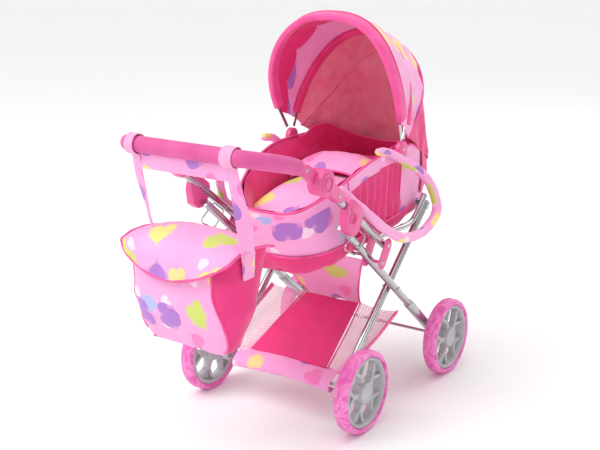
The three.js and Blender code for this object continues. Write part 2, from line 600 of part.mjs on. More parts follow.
const STRAP = 1.6;
const STRAP_WIDTH = 25;
const loopRight = V(gripHalf - 63, gripY, gripZ);
const bagRight = bagX + bagHalf;
const bagLeft = bagX - bagHalf;
const loopLeftAt = 0.74;
const gripRadius = GRIP_DIAMETER / 2;
function loop(middle, along, half, radius) {
  const [from, to] = [-half, half].map((d) => middle.clone().addScaledVector(along, d));
  const [far0, far1] = [-half - 2, half + 2].map((d) => middle.clone().addScaledVector(along, d));
  return cut(bar(from, to, radius + STRAP, 14), bar(far0, far1, radius, 14));
}
const loopLeft = gripPath.getPointAt(loopLeftAt);
const loopLeftAlong = gripPath.getTangentAt(loopLeftAt);
const underBar = gripZ - gripRadius - 1;
const strapRight = sheet([[underBar - 0.6, loopRight.x - 10, -424, loopRight.x + 10, -424],
  [440, bagRight + 1.5, -425, bagRight + 19.5, -408], [386, bagRight + 3.5, -412, bagRight + 6.5, -388],
  [342, bagRight + 2, -408, bagRight + 2, -383]].map(([z, ax, ay, bx, by]) => [V(ax, ay, z), V(bx, by, z)]), STRAP);
const strapLeft = sheet([[loopLeft.z - gripRadius - 3.6, loopLeft.x - 4, loopLeft.y + 4, loopLeft.x + 9, loopLeft.y - 5],
  [450, bagLeft + 26, -402, bagLeft + 36, -406], [396, bagLeft + 32, -396, bagLeft + 38, -397]]
  .map(([z, ax, ay, bx, by]) => [V(ax, ay, z), V(bx, by, z)]), STRAP);
const strapAcross = sheet([0, -STRAP_WIDTH].map((drop) => [
  V(loopLeft.x - 4, loopLeft.y + 1, loopLeft.z - gripRadius - 3 + drop), V(-80, gripY, underBar + drop),
  V(-40, gripY, underBar + drop), V(30, gripY, underBar + drop), V(loopRight.x - 4, gripY, underBar - 0.2 + drop)]), STRAP);
add('bag_strap', join(loop(loopRight, V(1, 0, 0), 11, gripRadius + 1.2),
  loop(loopLeft, loopLeftAlong, 8, gripRadius + 2.6),
  strapRight, strapLeft, strapAcross), printCloth);

// ---- Origin: on the ground, under the middle of the whole stroller ------------------------------------------------------
const bounds = new THREE.Box3().setFromObject(root);
root.position.set(-(bounds.min.x + bounds.max.x) / 2, -(bounds.min.y + bounds.max.y) / 2, -bounds.min.z);

export default root;
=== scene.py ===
import math

import bpy
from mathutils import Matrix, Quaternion, Vector, noise


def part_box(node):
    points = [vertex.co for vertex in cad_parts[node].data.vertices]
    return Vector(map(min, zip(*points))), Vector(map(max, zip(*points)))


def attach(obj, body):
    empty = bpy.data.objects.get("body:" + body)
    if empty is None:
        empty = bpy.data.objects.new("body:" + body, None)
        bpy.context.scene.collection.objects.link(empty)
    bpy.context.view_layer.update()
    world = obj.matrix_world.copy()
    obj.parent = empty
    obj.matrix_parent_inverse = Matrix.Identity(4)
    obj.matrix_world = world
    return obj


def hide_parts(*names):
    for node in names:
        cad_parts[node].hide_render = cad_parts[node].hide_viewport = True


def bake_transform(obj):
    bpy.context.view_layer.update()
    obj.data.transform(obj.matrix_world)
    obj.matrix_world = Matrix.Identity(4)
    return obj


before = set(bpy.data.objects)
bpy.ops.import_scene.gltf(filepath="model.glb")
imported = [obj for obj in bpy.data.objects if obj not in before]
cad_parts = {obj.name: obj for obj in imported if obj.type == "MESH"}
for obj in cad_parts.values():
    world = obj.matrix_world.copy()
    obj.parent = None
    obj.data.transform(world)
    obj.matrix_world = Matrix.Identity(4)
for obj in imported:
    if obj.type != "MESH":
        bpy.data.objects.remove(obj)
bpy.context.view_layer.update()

# ---- Places, in chassis millimetres: x to the right, y towards the hood, z up ------------------
SIDES = (("right", 1), ("left", -1))


def middle(node):
    low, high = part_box(node)
    return (low + high) / 2


AXLES_MIDDLE = (middle("front_axle").y + middle("rear_axle").y) / 2
WHEELBASE = (middle("front_axle").y - middle("rear_axle").y) * 1000
AXLE_Z = middle("front_axle").z * 1000
WHEEL_X = middle("tyre_front_right").x * 1000
LEG_FRONT_X = middle("front_leg_right").x * 1000
LEG_REAR_X = middle("rear_foot_right").x * 1000
HANDLE_X = middle("handle_tube_right").x * 1000
SEAT_X = (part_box("seat_tube_right")[1].x - 0.0055) * 1000
LEG_RADIUS = 7.5
SEAT_RADIUS = 5.5
RIVET_RADIUS = 3
FRONT_AXLE = (WHEELBASE / 2, AXLE_Z)
REAR_AXLE = (-WHEELBASE / 2, AXLE_Z)
LINK_PIVOT = (-98, 304)
SEAT_REAR = (-79, 332)
SEAT_PIVOT = (136, 352)
HUB = (-284, 487)
GRIP = (-424, 545)
GRIP_RADIUS = 14
HOOD_PIVOT = (50, 482)


def at(x, y, z):
    """A point in chassis millimetres, as metres in the part's frame."""
    return Vector((x / 1000, AXLES_MIDDLE + y / 1000, z / 1000))


def chassis_y(p):
    """How far along the chassis a point lies, in millimetres."""
    return (p.y - AXLES_MIDDLE) * 1000


def shares(count):
    return [k / count for k in range(count + 1)]


def mix(a, b, t):
    return a + (b - a) * t


def toward(a, b, length):
    """The side-view point that lies a length from a on the way to b."""
    share = length / math.dist(a, b)
    return (mix(a[0], b[0], share), mix(a[1], b[1], share))


def smooth_step(t):
    t = min(1, max(0, t))
    return t * t * (3 - 2 * t)


def passing(a, b, c, d, share):
    """A place between b and c on the smooth curve through four points."""
    t1 = max(1e-4, (b - a).length ** 0.5)
    t2 = t1 + max(1e-4, (c - b).length ** 0.5)
    t3 = t2 + max(1e-4, (d - c).length ** 0.5)
    t = mix(t1, t2, share)
    ab, bc, cd = a.lerp(b, t / t1), b.lerp(c, share), c.lerp(d, (t - t2) / (t3 - t2))
    return ab.lerp(bc, t / t2).lerp(bc.lerp(cd, (t - t1) / (t3 - t1)), share)


def spline(points, count, closed=False):
    """Points spaced evenly along a smooth curve through the given points."""
    before = points[-1] if closed else points[0] * 2 - points[1]
    after = points[:2] if closed else [points[-1] * 2 - points[-2]]
    ring = [before, *points, *after]
    fine = [passing(*four, k / 12) for four in zip(ring, ring[1:], ring[2:], ring[3:]) for k in range(12)]
    fine.append(points[0 if closed else -1].copy())
    return even(fine, count)


def even(line, count):
    """The same line with its points spaced evenly."""
    reach = [0]
    for a, b in zip(line, line[1:]):
        reach.append(reach[-1] + (b - a).length)
    out, i = [], 0
    for k in range(count):
        want = reach[-1] * k / (count - 1)
        while i < len(line) - 2 and reach[i + 1] < want:
            i += 1
        span = reach[i + 1] - reach[i]
        out.append(line[i].lerp(line[i + 1], (want - reach[i]) / span if span > 0 else 0))
    return out


def length_of(line):
    return sum((b - a).length for a, b in zip(line, line[1:]))


# ---- Finishes ----------------------------------------------------------------------------------
class Finish:
    """A material being built from nodes."""

    def __init__(self, name, roughness=0.5, **sockets):
        self.material = bpy.data.materials.new(name)
        self.material.use_nodes = True
        self.tree = self.material.node_tree
        self.shader = self.tree.nodes["Principled BSDF"]
        self.shader.inputs["Roughness"].default_value = roughness
        for socket, value in sockets.items():
            self.shader.inputs[socket.replace("_", " ")].default_value = value

    def node(self, kind, inputs=None, **settings):
        made = self.tree.nodes.new("ShaderNode" + kind)
        for key, value in settings.items():
            setattr(made, key, value)
        for key, value in (inputs or {}).items():
            if isinstance(value, bpy.types.NodeSocket):
                self.tree.links.new(value, made.inputs[key])
            else:
                made.inputs[key].default_value = value
        return made

    def math(self, operation, a, b=0.0):
        return self.node("Math", {0: a, 1: b}, operation=operation).outputs[0]

    def noise(self, place, scale, detail=2.0, **more):
        return self.node("TexNoise", {"Vector": place, "Scale": scale, "Detail": detail, **more}).outputs[0]

    def vector(self, operation, a, b):
        second = "Scale" if operation == "SCALE" else 1
        return self.node("VectorMath", {0: a, second: b}, operation=operation).outputs[0]

    def split(self, vector):
        return self.node("SeparateXYZ", {0: vector}).outputs

    def remap(self, value, low, high, to_low=0.0, to_high=1.0):
        inputs = {"Value": value, "From Min": low, "From Max": high, "To Min": to_low, "To Max": to_high}
        return self.node("MapRange", inputs).outputs[0]

    def blend(self, share, a, b):
        made = self.node("Mix", {0: share, 6: a, 7: b}, data_type="RGBA")
        return made.outputs[2]

    def ramp(self, value, stops, sharp=False):
        made = self.node("ValToRGB", {"Fac": value})
        made.color_ramp.interpolation = "CONSTANT" if sharp else "LINEAR"
        while len(made.color_ramp.elements) < len(stops):
            made.color_ramp.elements.new(0.5)
        for element, (place, colour) in zip(made.color_ramp.elements, stops):
            element.position = place
            element.color = colour
        return made.outputs[0]

    def link(self, value, socket):
        self.tree.links.new(value, self.shader.inputs[socket])

    def bump(self, height, strength, distance):
        inputs = {"Height": height, "Strength": strength, "Distance": distance}
        self.link(self.node("Bump", inputs).outputs[0], "Normal")


def tone(red, green, blue):
    """A colour written as 0 to 255, as light values."""
    linear = [((c / 255 + 0.055) / 1.055) ** 2.4 if c > 10 else c / 255 / 12.92 for c in (red, green, blue)]
    return (*linear, 1.0)


BLUSH = tone(247, 160, 214)
CANDY = tone(236, 44, 128)
DEEP_PINK = tone(238, 62, 140)
SALMON = tone(255, 172, 196)
LILAC = tone(172, 112, 204)
LIME = tone(203, 222, 82)
LEMON = tone(250, 228, 118)
SKY = tone(158, 190, 236)
ROSE = tone(248, 112, 182)
CREAM = tone(255, 236, 248)


def weave(f, coordinates, count):
    """Threads of a plain weave, as a height."""
    x, y = f.split(f.vector("SCALE", coordinates, count))[:2]
    return f.math("MULTIPLY", f.math("SINE", x), f.math("SINE", y))


def heart_layer(f, coordinates, cell, size, share):
    """Hearts scattered one to a cell: their mask and a random value each."""
    scaled = f.vector("SCALE", coordinates, 1 / cell)
    inputs = {"Vector": scaled, "Scale": 1.0, "Randomness": 0.4}
    cells = f.node("TexVoronoi", inputs, voronoi_dimensions="2D")
    local = f.vector("SUBTRACT", scaled, cells.outputs["Position"])
    random = f.node("SeparateColor", {0: cells.outputs["Color"]}).outputs
    turn = f.remap(random[0], 0.0, 1.0, -math.pi, math.pi)
    rotated = f.node("VectorRotate", {"Vector": local, "Angle": turn}, rotation_type="Z_AXIS").outputs[0]
    x, y = f.split(f.vector("SCALE", rotated, 1 / size))[:2]
    x2 = f.math("MULTIPLY", x, x)
    y2 = f.math("MULTIPLY", y, y)
    a = f.math("SUBTRACT", f.math("ADD", x2, y2), 1.0)
    cubed = f.math("MULTIPLY", f.math("MULTIPLY", a, a), a)
    lobes = f.math("MULTIPLY", f.math("MULTIPLY", x2, y2), y)
    inside = f.remap(f.math("SUBTRACT", cubed, lobes), 0.05, -0.05)
    chosen = f.math("LESS_THAN", random[2], share)
    return f.math("MULTIPLY", inside, chosen), random[1]


def make_print(name):
    """Satin polyester printed with hearts of several sizes."""
    f = Finish(name, 0.62, Sheen_Weight=0.25, Sheen_Roughness=0.5)
    uv = f.node("TexCoord").outputs["UV"]
    drift = f.node("TexNoise", {"Vector": uv, "Scale": 9.0, "Detail": 1.0}).outputs["Color"]
    coordinates = f.vector("ADD", uv, f.vector("SCALE", drift, 0.006))
    ground = f.noise(uv, 6.0)
    pale = tuple(min(1, c + 0.09) for c in BLUSH[:3]) + (1.0,)
    colour = f.blend(f.remap(ground, 0.35, 0.65), BLUSH, pale)
    # each layer's cell and heart size in metres, share of cells filled, inks, and strength of print
    layers = (
        (0.052, 0.19, 0.34, [(0, CREAM), (0.5, ROSE), (0.75, CREAM)], 0.8),
        (0.076, 0.21, 0.42, [(0, SKY), (0.34, LEMON), (0.7, ROSE)], 0.9),
        (0.098, 0.245, 0.72, [(0, LILAC), (0.5, LIME), (0.82, LEMON)], 1.0),
    )
    for i, (cell, size, share, stops, depth) in enumerate(layers):
        moved = f.vector("ADD", coordinates, (0.37 * i, 0.21 * i, 0))
        mask, chance = heart_layer(f, moved, cell, size, share)
        ink = f.ramp(chance, stops, sharp=True)
        patchy = f.remap(ground, 0.2, 0.8, depth - 0.15, depth)
        colour = f.blend(f.math("MULTIPLY", mask, patchy), colour, ink)
    f.link(colour, "Base Color")
    creases = f.noise(uv, 26.0, 4.0, Roughness=0.55)
    threads = weave(f, uv, 4200.0)
    f.bump(f.math("ADD", creases, f.math("MULTIPLY", threads, 0.05)), 0.35, 0.004)
    f.link(f.remap(creases, 0.3, 0.7, 0.52, 0.7), "Roughness")
    return f.material


def make_plain_cloth(name, colour, shade, rough=0.6):
    """Plain dyed satin polyester, with painted shade making it a little darker in its creases."""
    f = Finish(name, rough, Sheen_Weight=0.3, Sheen_Roughness=0.45)
    place = f.node("TexCoord").outputs["Object"]
    creases = f.noise(place, 24.0, 5.0, Distortion=0.6)
    # painted shade: the colour turns to the shade colour where the crease noise is low, in the folds
    f.link(f.blend(f.remap(creases, 0.32, 0.62), shade, colour), "Base Color")
    fine = f.noise(place, 900.0, 1.0)
    f.bump(f.math("ADD", creases, f.math("MULTIPLY", fine, 0.06)), 0.4, 0.005)
    f.link(f.remap(creases, 0.3, 0.7, rough - 0.08, rough + 0.1), "Roughness")
    return f.material


def make_net():
    """Open net of fine threads."""
    f = Finish("basket net", 0.6)
    uv = f.node("TexCoord").outputs["UV"]
    thread = f.math("LESS_THAN", f.math("ABSOLUTE", weave(f, uv, 700.0)), 0.3)
    pink = f.noise(uv, 30.0)
    f.link(f.blend(pink, tone(250, 214, 228), tone(238, 140, 184)), "Base Color")
    f.link(thread, "Alpha")
    return f.material


def make_plastic(name, colour, roughness, coat=0.0):
    """Moulded plastic with a fine moulded grain and slight sink marks, darkened by painted shade in the sink
    marks.
    """
    f = Finish(name, roughness, Coat_Weight=coat, Coat_Roughness=0.25)
    place = f.node("TexCoord").outputs["Object"]
    cloud = f.noise(place, 40.0)
    # painted shade: the colour turns darker where the cloud noise makes the surface dip
    painted_sink_shade = tuple(c * 0.86 for c in colour[:3]) + (1.0,)
    f.link(f.blend(f.remap(cloud, 0.3, 0.7), painted_sink_shade, colour), "Base Color")
    grain = f.noise(place, 1400.0, 1.0)
    f.bump(f.math("ADD", f.math("MULTIPLY", grain, 0.2), cloud), 0.12, 0.0012)
    f.link(f.remap(cloud, 0.3, 0.7, roughness - 0.06, roughness + 0.06), "Roughness")
    return f.material


def make_steel():
    """Bright plated steel with faint drawing lines and smudges, and darker patches of painted reflection in
    its colour.
    """
    f = Finish("plated steel", 0.16, Metallic=1.0)
    place = f.node("TexCoord").outputs["Object"]
    smudge_and_painted_reflection = f.noise(place, 55.0, 4.0)
    # the darker grey patches are painted reflection of dark surroundings; the same noise gives real smudges
    # in roughness and bump
    f.link(f.blend(smudge_and_painted_reflection, tone(172, 172, 177), tone(206, 206, 209)), "Base Color")
    f.link(f.remap(smudge_and_painted_reflection, 0.35, 0.7, 0.1, 0.26), "Roughness")
    f.bump(smudge_and_painted_reflection, 0.04, 0.001)
    return f.material


def make_tyre():
    """Marbled pink foam."""
    f = Finish("marbled tyre foam", 0.5, Coat_Weight=0.1, Coat_Roughness=0.4)
    place = f.node("TexCoord").outputs["Object"]
    swirl = f.noise(place, 30.0, 6.0, Distortion=2.6)
    stops = [(0.34, tone(226, 92, 176)), (0.47, tone(240, 112, 190)), (0.58, tone(248, 150, 210)),
             (0.7, tone(236, 104, 184))]
    f.link(f.ramp(swirl, stops), "Base Color")
    pores = f.node("TexVoronoi", {"Vector": place, "Scale": 700.0}).outputs["Distance"]
    f.bump(f.math("ADD", pores, swirl), 0.2, 0.0012)
    return f.material


def make_foam():
    """Matte closed-cell foam of the grip."""
    f = Finish("grip foam", 0.72, Sheen_Weight=0.15)
    place = f.node("TexCoord").outputs["Object"]
    cloud = f.noise(place, 18.0, 3.0)
    f.link(f.blend(f.remap(cloud, 0.3, 0.7), tone(208, 74, 144), tone(224, 94, 160)), "Base Color")
    cells = f.node("TexVoronoi", {"Vector": place, "Scale": 900.0}).outputs["Distance"]
    f.bump(cells, 0.18, 0.0008)
    return f.material


PRINT = make_print("printed cloth")
# the second colour given to each plain cloth is its painted crease shade
CANDY_CLOTH = make_plain_cloth("candy pink cloth", CANDY, tone(222, 40, 118))
DEEP_CLOTH = make_plain_cloth("deep pink lining", DEEP_PINK, tone(222, 38, 116))
SALMON_CLOTH = make_plain_cloth("salmon lining", SALMON, tone(252, 134, 166))
BINDING = make_plain_cloth("pink binding tape", tone(246, 88, 164), tone(232, 66, 144), 0.5)
NET = make_net()
PINK_PLASTIC = make_plastic("pink plastic", tone(238, 92, 158), 0.36, 0.15)
BUTTON_PLASTIC = make_plastic("deep pink plastic", tone(222, 46, 122), 0.34, 0.2)
GREY_PLASTIC = make_plastic("grey plastic", tone(192, 192, 196), 0.42)
DARK_PLASTIC = make_plastic("dark grey plastic", tone(118, 116, 120), 0.45)
STEEL = make_steel()
TYRE = make_tyre()
FOAM = make_foam()
CARD = Finish("dark card", 0.9, Base_Color=(0.03, 0.03, 0.035, 1)).material
# its second colour is the painted crease shade
VELCRO = make_plain_cloth("velcro tab", tone(250, 178, 214), tone(242, 158, 202), 0.85)


# ---- Modelling helpers -------------------------------------------------------------------------
def clear_selection():
    bpy.ops.object.select_all(action="DESELECT")


def pick(piece):
    clear_selection()
    piece.select_set(True)
    bpy.context.view_layer.objects.active = piece


def apply_all(piece):
    pick(piece)
    for modifier in list(piece.modifiers):
        bpy.ops.object.modifier_apply(modifier=modifier.name)


def place_in_mesh(piece):
    pick(piece)
    bpy.ops.object.transform_apply(location=True, rotation=True, scale=True)


def finish(piece, name, body, nodes=(), angle=40):
    """Names a piece, smooths it and joins it to its body."""
    piece.name = piece.data.name = name
    pick(piece)
    bpy.ops.object.shade_smooth_by_angle(angle=math.radians(angle))
    if body:
        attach(piece, body)
    if nodes:
        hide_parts(*nodes)
    return piece


def cloth(rows, outer, inner=None, thickness=1.4, edge=None, creases=None, shape=None):
    """A sheet of cloth through rows of points, with its own UV map in metres.

    creases are rumple's values, and shape moves the sheet's points before it gets its thickness."""
    m, n = len(rows), len(rows[0])
    clear_selection()
    bpy.ops.mesh.primitive_grid_add(x_subdivisions=n - 1, y_subdivisions=m - 1, size=1)
    piece = bpy.context.object
    spot = [(round((v.co.x + 0.5) * (n - 1)), round((v.co.y + 0.5) * (m - 1))) for v in piece.data.vertices]
    across = length_of(rows[m // 2]) / (n - 1)
    down = length_of([row[n // 2] for row in rows]) / (m - 1)
    for vertex, (i, j) in zip(piece.data.vertices, spot):
        vertex.co = rows[j][i]
    layer = piece.data.uv_layers.active.data
    for loop in piece.data.loops:
        i, j = spot[loop.vertex_index]
        layer[loop.index].uv = (i * across, j * down)
    bpy.ops.object.mode_set(mode="EDIT")
    bpy.ops.mesh.select_all(action="SELECT")
    bpy.ops.mesh.remove_doubles(threshold=1e-5)
    bpy.ops.object.mode_set(mode="OBJECT")
    for material in (outer, inner or outer, edge or outer):
        piece.data.materials.append(material)
    if shape:
        shape(piece)
    if creases:
        rumple(piece, *creases)
    if thickness:
        wall = piece.modifiers.new("wall", "SOLIDIFY")
        wall.thickness = thickness / 1000
        wall.offset = -1
        wall.material_offset = 1
        wall.material_offset_rim = 2
        wall.use_quality_normals = True
        apply_all(piece)
    return piece


def rumple(piece, depth, size, stretch, seed):
    """Soft folds: points move along their normals by smooth noise, sharper where cloth is pinched."""
    normals = [v.normal.copy() for v in piece.data.vertices]
    for vertex, normal in zip(piece.data.vertices, normals):
        spot = Vector([c * k / (size / 1000) + seed for c, k in zip(vertex.co, stretch)])
        pinch = 1 - 2.4 * abs(noise.noise(spot * 1.3 + Vector((4.7, 1.3, 9.1))))
        amount = noise.noise(spot) + 0.5 * pinch + 0.3 * noise.noise(spot * 2.7)
        vertex.co += normal * (amount * depth / 1000)


def rings_along(line, radius, sides, flat=None, up=None):
    """Rows of a closed tube along a line, drawn to a point at both ends.

    flat is the width and thickness of a flat one."""
    count = len(line)
    tangents = [(line[min(i + 1, count - 1)] - line[max(i - 1, 0)]).normalized() for i in range(count)]
    side = up or Vector((0, 0, 1))
    if abs(side.dot(tangents[0])) > 0.95:
        side = Vector((1, 0, 0))
    frames = []
    for tangent in tangents:
        if up is not None:
            side = up
        side = (side - tangent * side.dot(tangent)).normalized()
        frames.append((side, tangent.cross(side).normalized()))
    rows = []
    for i, point in enumerate(line):
        a, b = frames[i]
        reach = radius(i / (count - 1)) if callable(radius) else radius
        ends = (0.0, 0.82, 1.0) if i == 0 else (1.0, 0.82, 0.0) if i == count - 1 else (1.0,)
        for k, scale in enumerate(ends):
            inset = (0.0, 0.0, 0.18) if i == 0 else (-0.18, 0.0, 0.0) if i == count - 1 else (0.0,)
            centre = point + tangents[i] * (inset[k] * reach / 1000)
            row = []
            for j in range(sides + 1):
                angle = 2 * math.pi * j / sides
                c, s = math.cos(angle), math.sin(angle)
                if flat:
                    c = math.copysign(abs(c) ** 0.35, c) * flat[0]
                    s = math.copysign(abs(s) ** 0.7, s) * flat[1]
                else:
                    c, s = c * reach, s * reach
                row.append(centre + (a * c + b * s) * (scale / 1000))
            rows.append(row)
    return rows


def outward(piece):
    pick(piece)
    bpy.ops.object.mode_set(mode="EDIT")
    bpy.ops.mesh.select_all(action="SELECT")
    bpy.ops.mesh.normals_make_consistent(inside=False)
    bpy.ops.object.mode_set(mode="OBJECT")


def tube(name, line, radius, material, body, slot=None, nodes=(), sides=18, flat=None, up=None):
    """A round or flat tube along a line of points."""
    piece = cloth(rings_along(line, radius, sides, flat, up), material, thickness=0)
    outward(piece)
    return finish(piece, name, body, nodes, 50)


def piping(name, line, radius, body, sides=10, **more):
    """Binding tape sewn along a line."""
    return tube(name, line, radius, BINDING, body, "pink_cloth", sides=sides, **more)


def rod(name, start, end, radius, material, body, slot="steel", nodes=(), bevel=0.8):
    """A straight round bar with softened ends."""
    along = end - start
    clear_selection()
    bpy.ops.mesh.primitive_cylinder_add(vertices=40, radius=radius / 1000, depth=along.length,
                                        location=(start + end) / 2)
    piece = bpy.context.object
    piece.rotation_mode = "QUATERNION"
    piece.rotation_quaternion = along.to_track_quat("Z", "Y")
    place_in_mesh(piece)
    soften(piece, bevel)
    piece.data.materials.append(material)
    return finish(piece, name, body, nodes)


def soften(piece, width):
    bevel = piece.modifiers.new("soften", "BEVEL")
    bevel.width = width / 1000
    bevel.segments = 2
    bevel.limit_method = "ANGLE"
    bevel.angle_limit = math.radians(35)
    apply_all(piece)


def plate(name, outline, x0, x1, material, body, nodes=(), bevel=0.8):
    """A plate with a side-view outline of (y, z) points, between two places across the stroller."""
    clear_selection()
    bpy.ops.mesh.primitive_circle_add(vertices=len(outline), fill_type="NGON")
    piece = bpy.context.object
    for vertex, (y, z) in zip(piece.data.vertices, outline):
        vertex.co = at(x0, y, z)
    bpy.ops.object.mode_set(mode="EDIT")
    bpy.ops.mesh.select_all(action="SELECT")
    bpy.ops.mesh.extrude_region_move(TRANSFORM_OT_translate={"value": ((x1 - x0) / 1000, 0, 0)})
    bpy.ops.mesh.select_all(action="SELECT")
    bpy.ops.mesh.normals_make_consistent(inside=False)
    bpy.ops.object.mode_set(mode="OBJECT")
    soften(piece, bevel)
    piece.data.materials.append(material)
    return finish(piece, name, body, nodes)


def turned(profile, centre, steps=64):
    """A ring turned about the X axis through centre, from a closed section of (radius, x) points."""
    clear_selection()
    bpy.ops.mesh.primitive_circle_add(vertices=len(profile), fill_type="NOTHING")
    piece = bpy.context.object
    for vertex, (radius, x) in zip(piece.data.vertices, profile):
        vertex.co = centre + Vector((x / 1000, 0, radius / 1000))
    bpy.ops.object.mode_set(mode="EDIT")
    bpy.ops.mesh.select_all(action="SELECT")
    bpy.ops.mesh.spin(steps=steps, angle=2 * math.pi, center=centre, axis=(1, 0, 0))
    bpy.ops.mesh.select_all(action="SELECT")
    bpy.ops.mesh.remove_doubles(threshold=2e-6)
    bpy.ops.mesh.dissolve_degenerate(threshold=1e-6)
    bpy.ops.mesh.normals_make_consistent(inside=False)
    bpy.ops.object.mode_set(mode="OBJECT")
    return piece


def lathe(name, profile, centre, steps, material, body, nodes=(), angle=40):
    """A finished turned piece."""
    piece = turned(profile, centre, steps)
    piece.data.materials.append(material)
    return finish(piece, name, body, nodes, angle)


def refine(node, material, body, bevel=0.7):
    """A copy of a CAD solid with softened edges, which stands for it."""
    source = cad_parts[node]
    piece = bpy.data.objects.new(node + "_moulded", source.data.copy())
    bpy.context.scene.collection.objects.link(piece)
    pick(piece)
    bpy.ops.object.mode_set(mode="EDIT")
    bpy.ops.mesh.select_all(action="SELECT")
    bpy.ops.mesh.remove_doubles(threshold=1e-5)
    bpy.ops.mesh.dissolve_limited(angle_limit=math.radians(1))
    bpy.ops.object.mode_set(mode="OBJECT")
    soften(piece, bevel)
    piece.data.materials.clear()
    piece.data.materials.append(material)
    return finish(piece, node + "_moulded", body, (node,))


def stud(name, x, place, s, body, radius=4.2, height=1.6, material=STEEL):
    """A domed rivet or screw head that faces outwards from a side."""
    dome = [(0, 0), (1, 0), (0.96, 0.45), (0.7, 0.85), (0, 1)]
    profile = [(radius * r, height * h * s) for r, h in dome]
    return lathe(name, profile, at(x, *place), 24, material, body)


def join(pieces):
    clear_selection()
    for piece in pieces:
        piece.select_set(True)
    bpy.context.view_layer.objects.active = pieces[0]
    bpy.ops.object.join()
    return bpy.context.object


# ---- Wheels ------------------------------------------------------------------------------------
TYRE_HALF = 14.5
RIM_RADIUS = 65.5


def rounded_tyre():
    """Section of the tyre: a crowned tread, round shoulders and a seat on the rim."""
    half = [(RIM_RADIUS + 0.2, 10), (69, TYRE_HALF), (73, TYRE_HALF - 0.4), (76, TYRE_HALF - 3.4), (77.4, 7)]
    return [(r, -x) for r, x in half] + [(77.5, 0)] + half[::-1]


def beam(start, end, wide, deep_start, deep_end, s):
    """A tapered spoke between two (y, z) places on the wheel, about its middle plane."""
    clear_selection()
    bpy.ops.mesh.primitive_cube_add(size=1)
    piece = bpy.context.object
    along = Vector((0, end[0] - start[0], end[1] - start[1]))
    across = Vector((0, -along.z, along.y)).normalized()
    for vertex in piece.data.vertices:
        far = vertex.co.z > 0
        deep = deep_end if far else deep_start
        centre = Vector((0, *(end if far else start)))
        vertex.co = centre + across * (vertex.co.y * wide) + Vector((vertex.co.x * deep * s, 0, 0))
        vertex.co /= 1000
    outward(piece)
    soften(piece, 1.1)
    return piece


def rim_piece(s):
    """Rim with a recessed well, a drum hub and five forked spokes, about its own middle."""
    band = turned([(58.5, -10.5), (RIM_RADIUS, -10.5), (RIM_RADIUS, 10.5), (63.5, 12.2), (61.5, 12.2),
                   (60, 10.5), (58.5, 4), (57.5, -2)], Vector((0, 0, 0)))
    hub = turned([(0, -12), (17, -12), (19, -10), (20.5, 9), (19.5, 12.5), (16.5, 13.6), (14.5, 12),
                  (0, 11.4)], Vector((0, 0, 0)))
    parts = [band, hub]
    for i in range(5):
        heading = 2 * math.pi * (i + 0.2) / 5

        def polar(radius, degrees=0.0):
            angle = heading + math.radians(degrees)
            return (-radius * math.sin(angle), radius * math.cos(angle))
        parts.append(beam(polar(17), polar(38), 9, 17, 13, s))
        for fork in (-1, 1):
            parts.append(beam(polar(34, fork * 2), polar(60, fork * 19), 6.5, 13, 13, s))
        parts.append(beam(polar(36), polar(60), 22, 2.2, 2.2, s))
    piece = join(parts)
    if s < 0:
        pick(piece)
        piece.scale.x = -1
        place_in_mesh(piece)
        outward(piece)
    return piece


def build_wheels():
    for side, s in SIDES:
        for end, axle in (("front", FRONT_AXLE), ("rear", REAR_AXLE)):
            body = f"wheel_{end}_{side}"
            lathe(f"foam_tyre_{end}_{side}", rounded_tyre(), at(s * WHEEL_X, *axle), 96, TYRE, body,
                  (f"tyre_{end}_{side}",))
            rim = rim_piece(s)
            rim.location = at(s * WHEEL_X, *axle)
            place_in_mesh(rim)
            rim.data.materials.append(GREY_PLASTIC)
            finish(rim, f"spoked_rim_{end}_{side}", body, (f"rim_{end}_{side}",), 30)


# ---- Chassis -----------------------------------------------------------------------------------
FOOT_GAP = 14


def cross_point():
    a, b, c, d = FRONT_AXLE, LINK_PIVOT, REAR_AXLE, SEAT_PIVOT
    r = (b[0] - a[0], b[1] - a[1])
    q = (d[0] - c[0], d[1] - c[1])
    t = ((c[0] - a[0]) * q[1] - (c[1] - a[1]) * q[0]) / (r[0] * q[1] - r[1] * q[0])
    return (a[0] + r[0] * t, a[1] + r[1] * t)


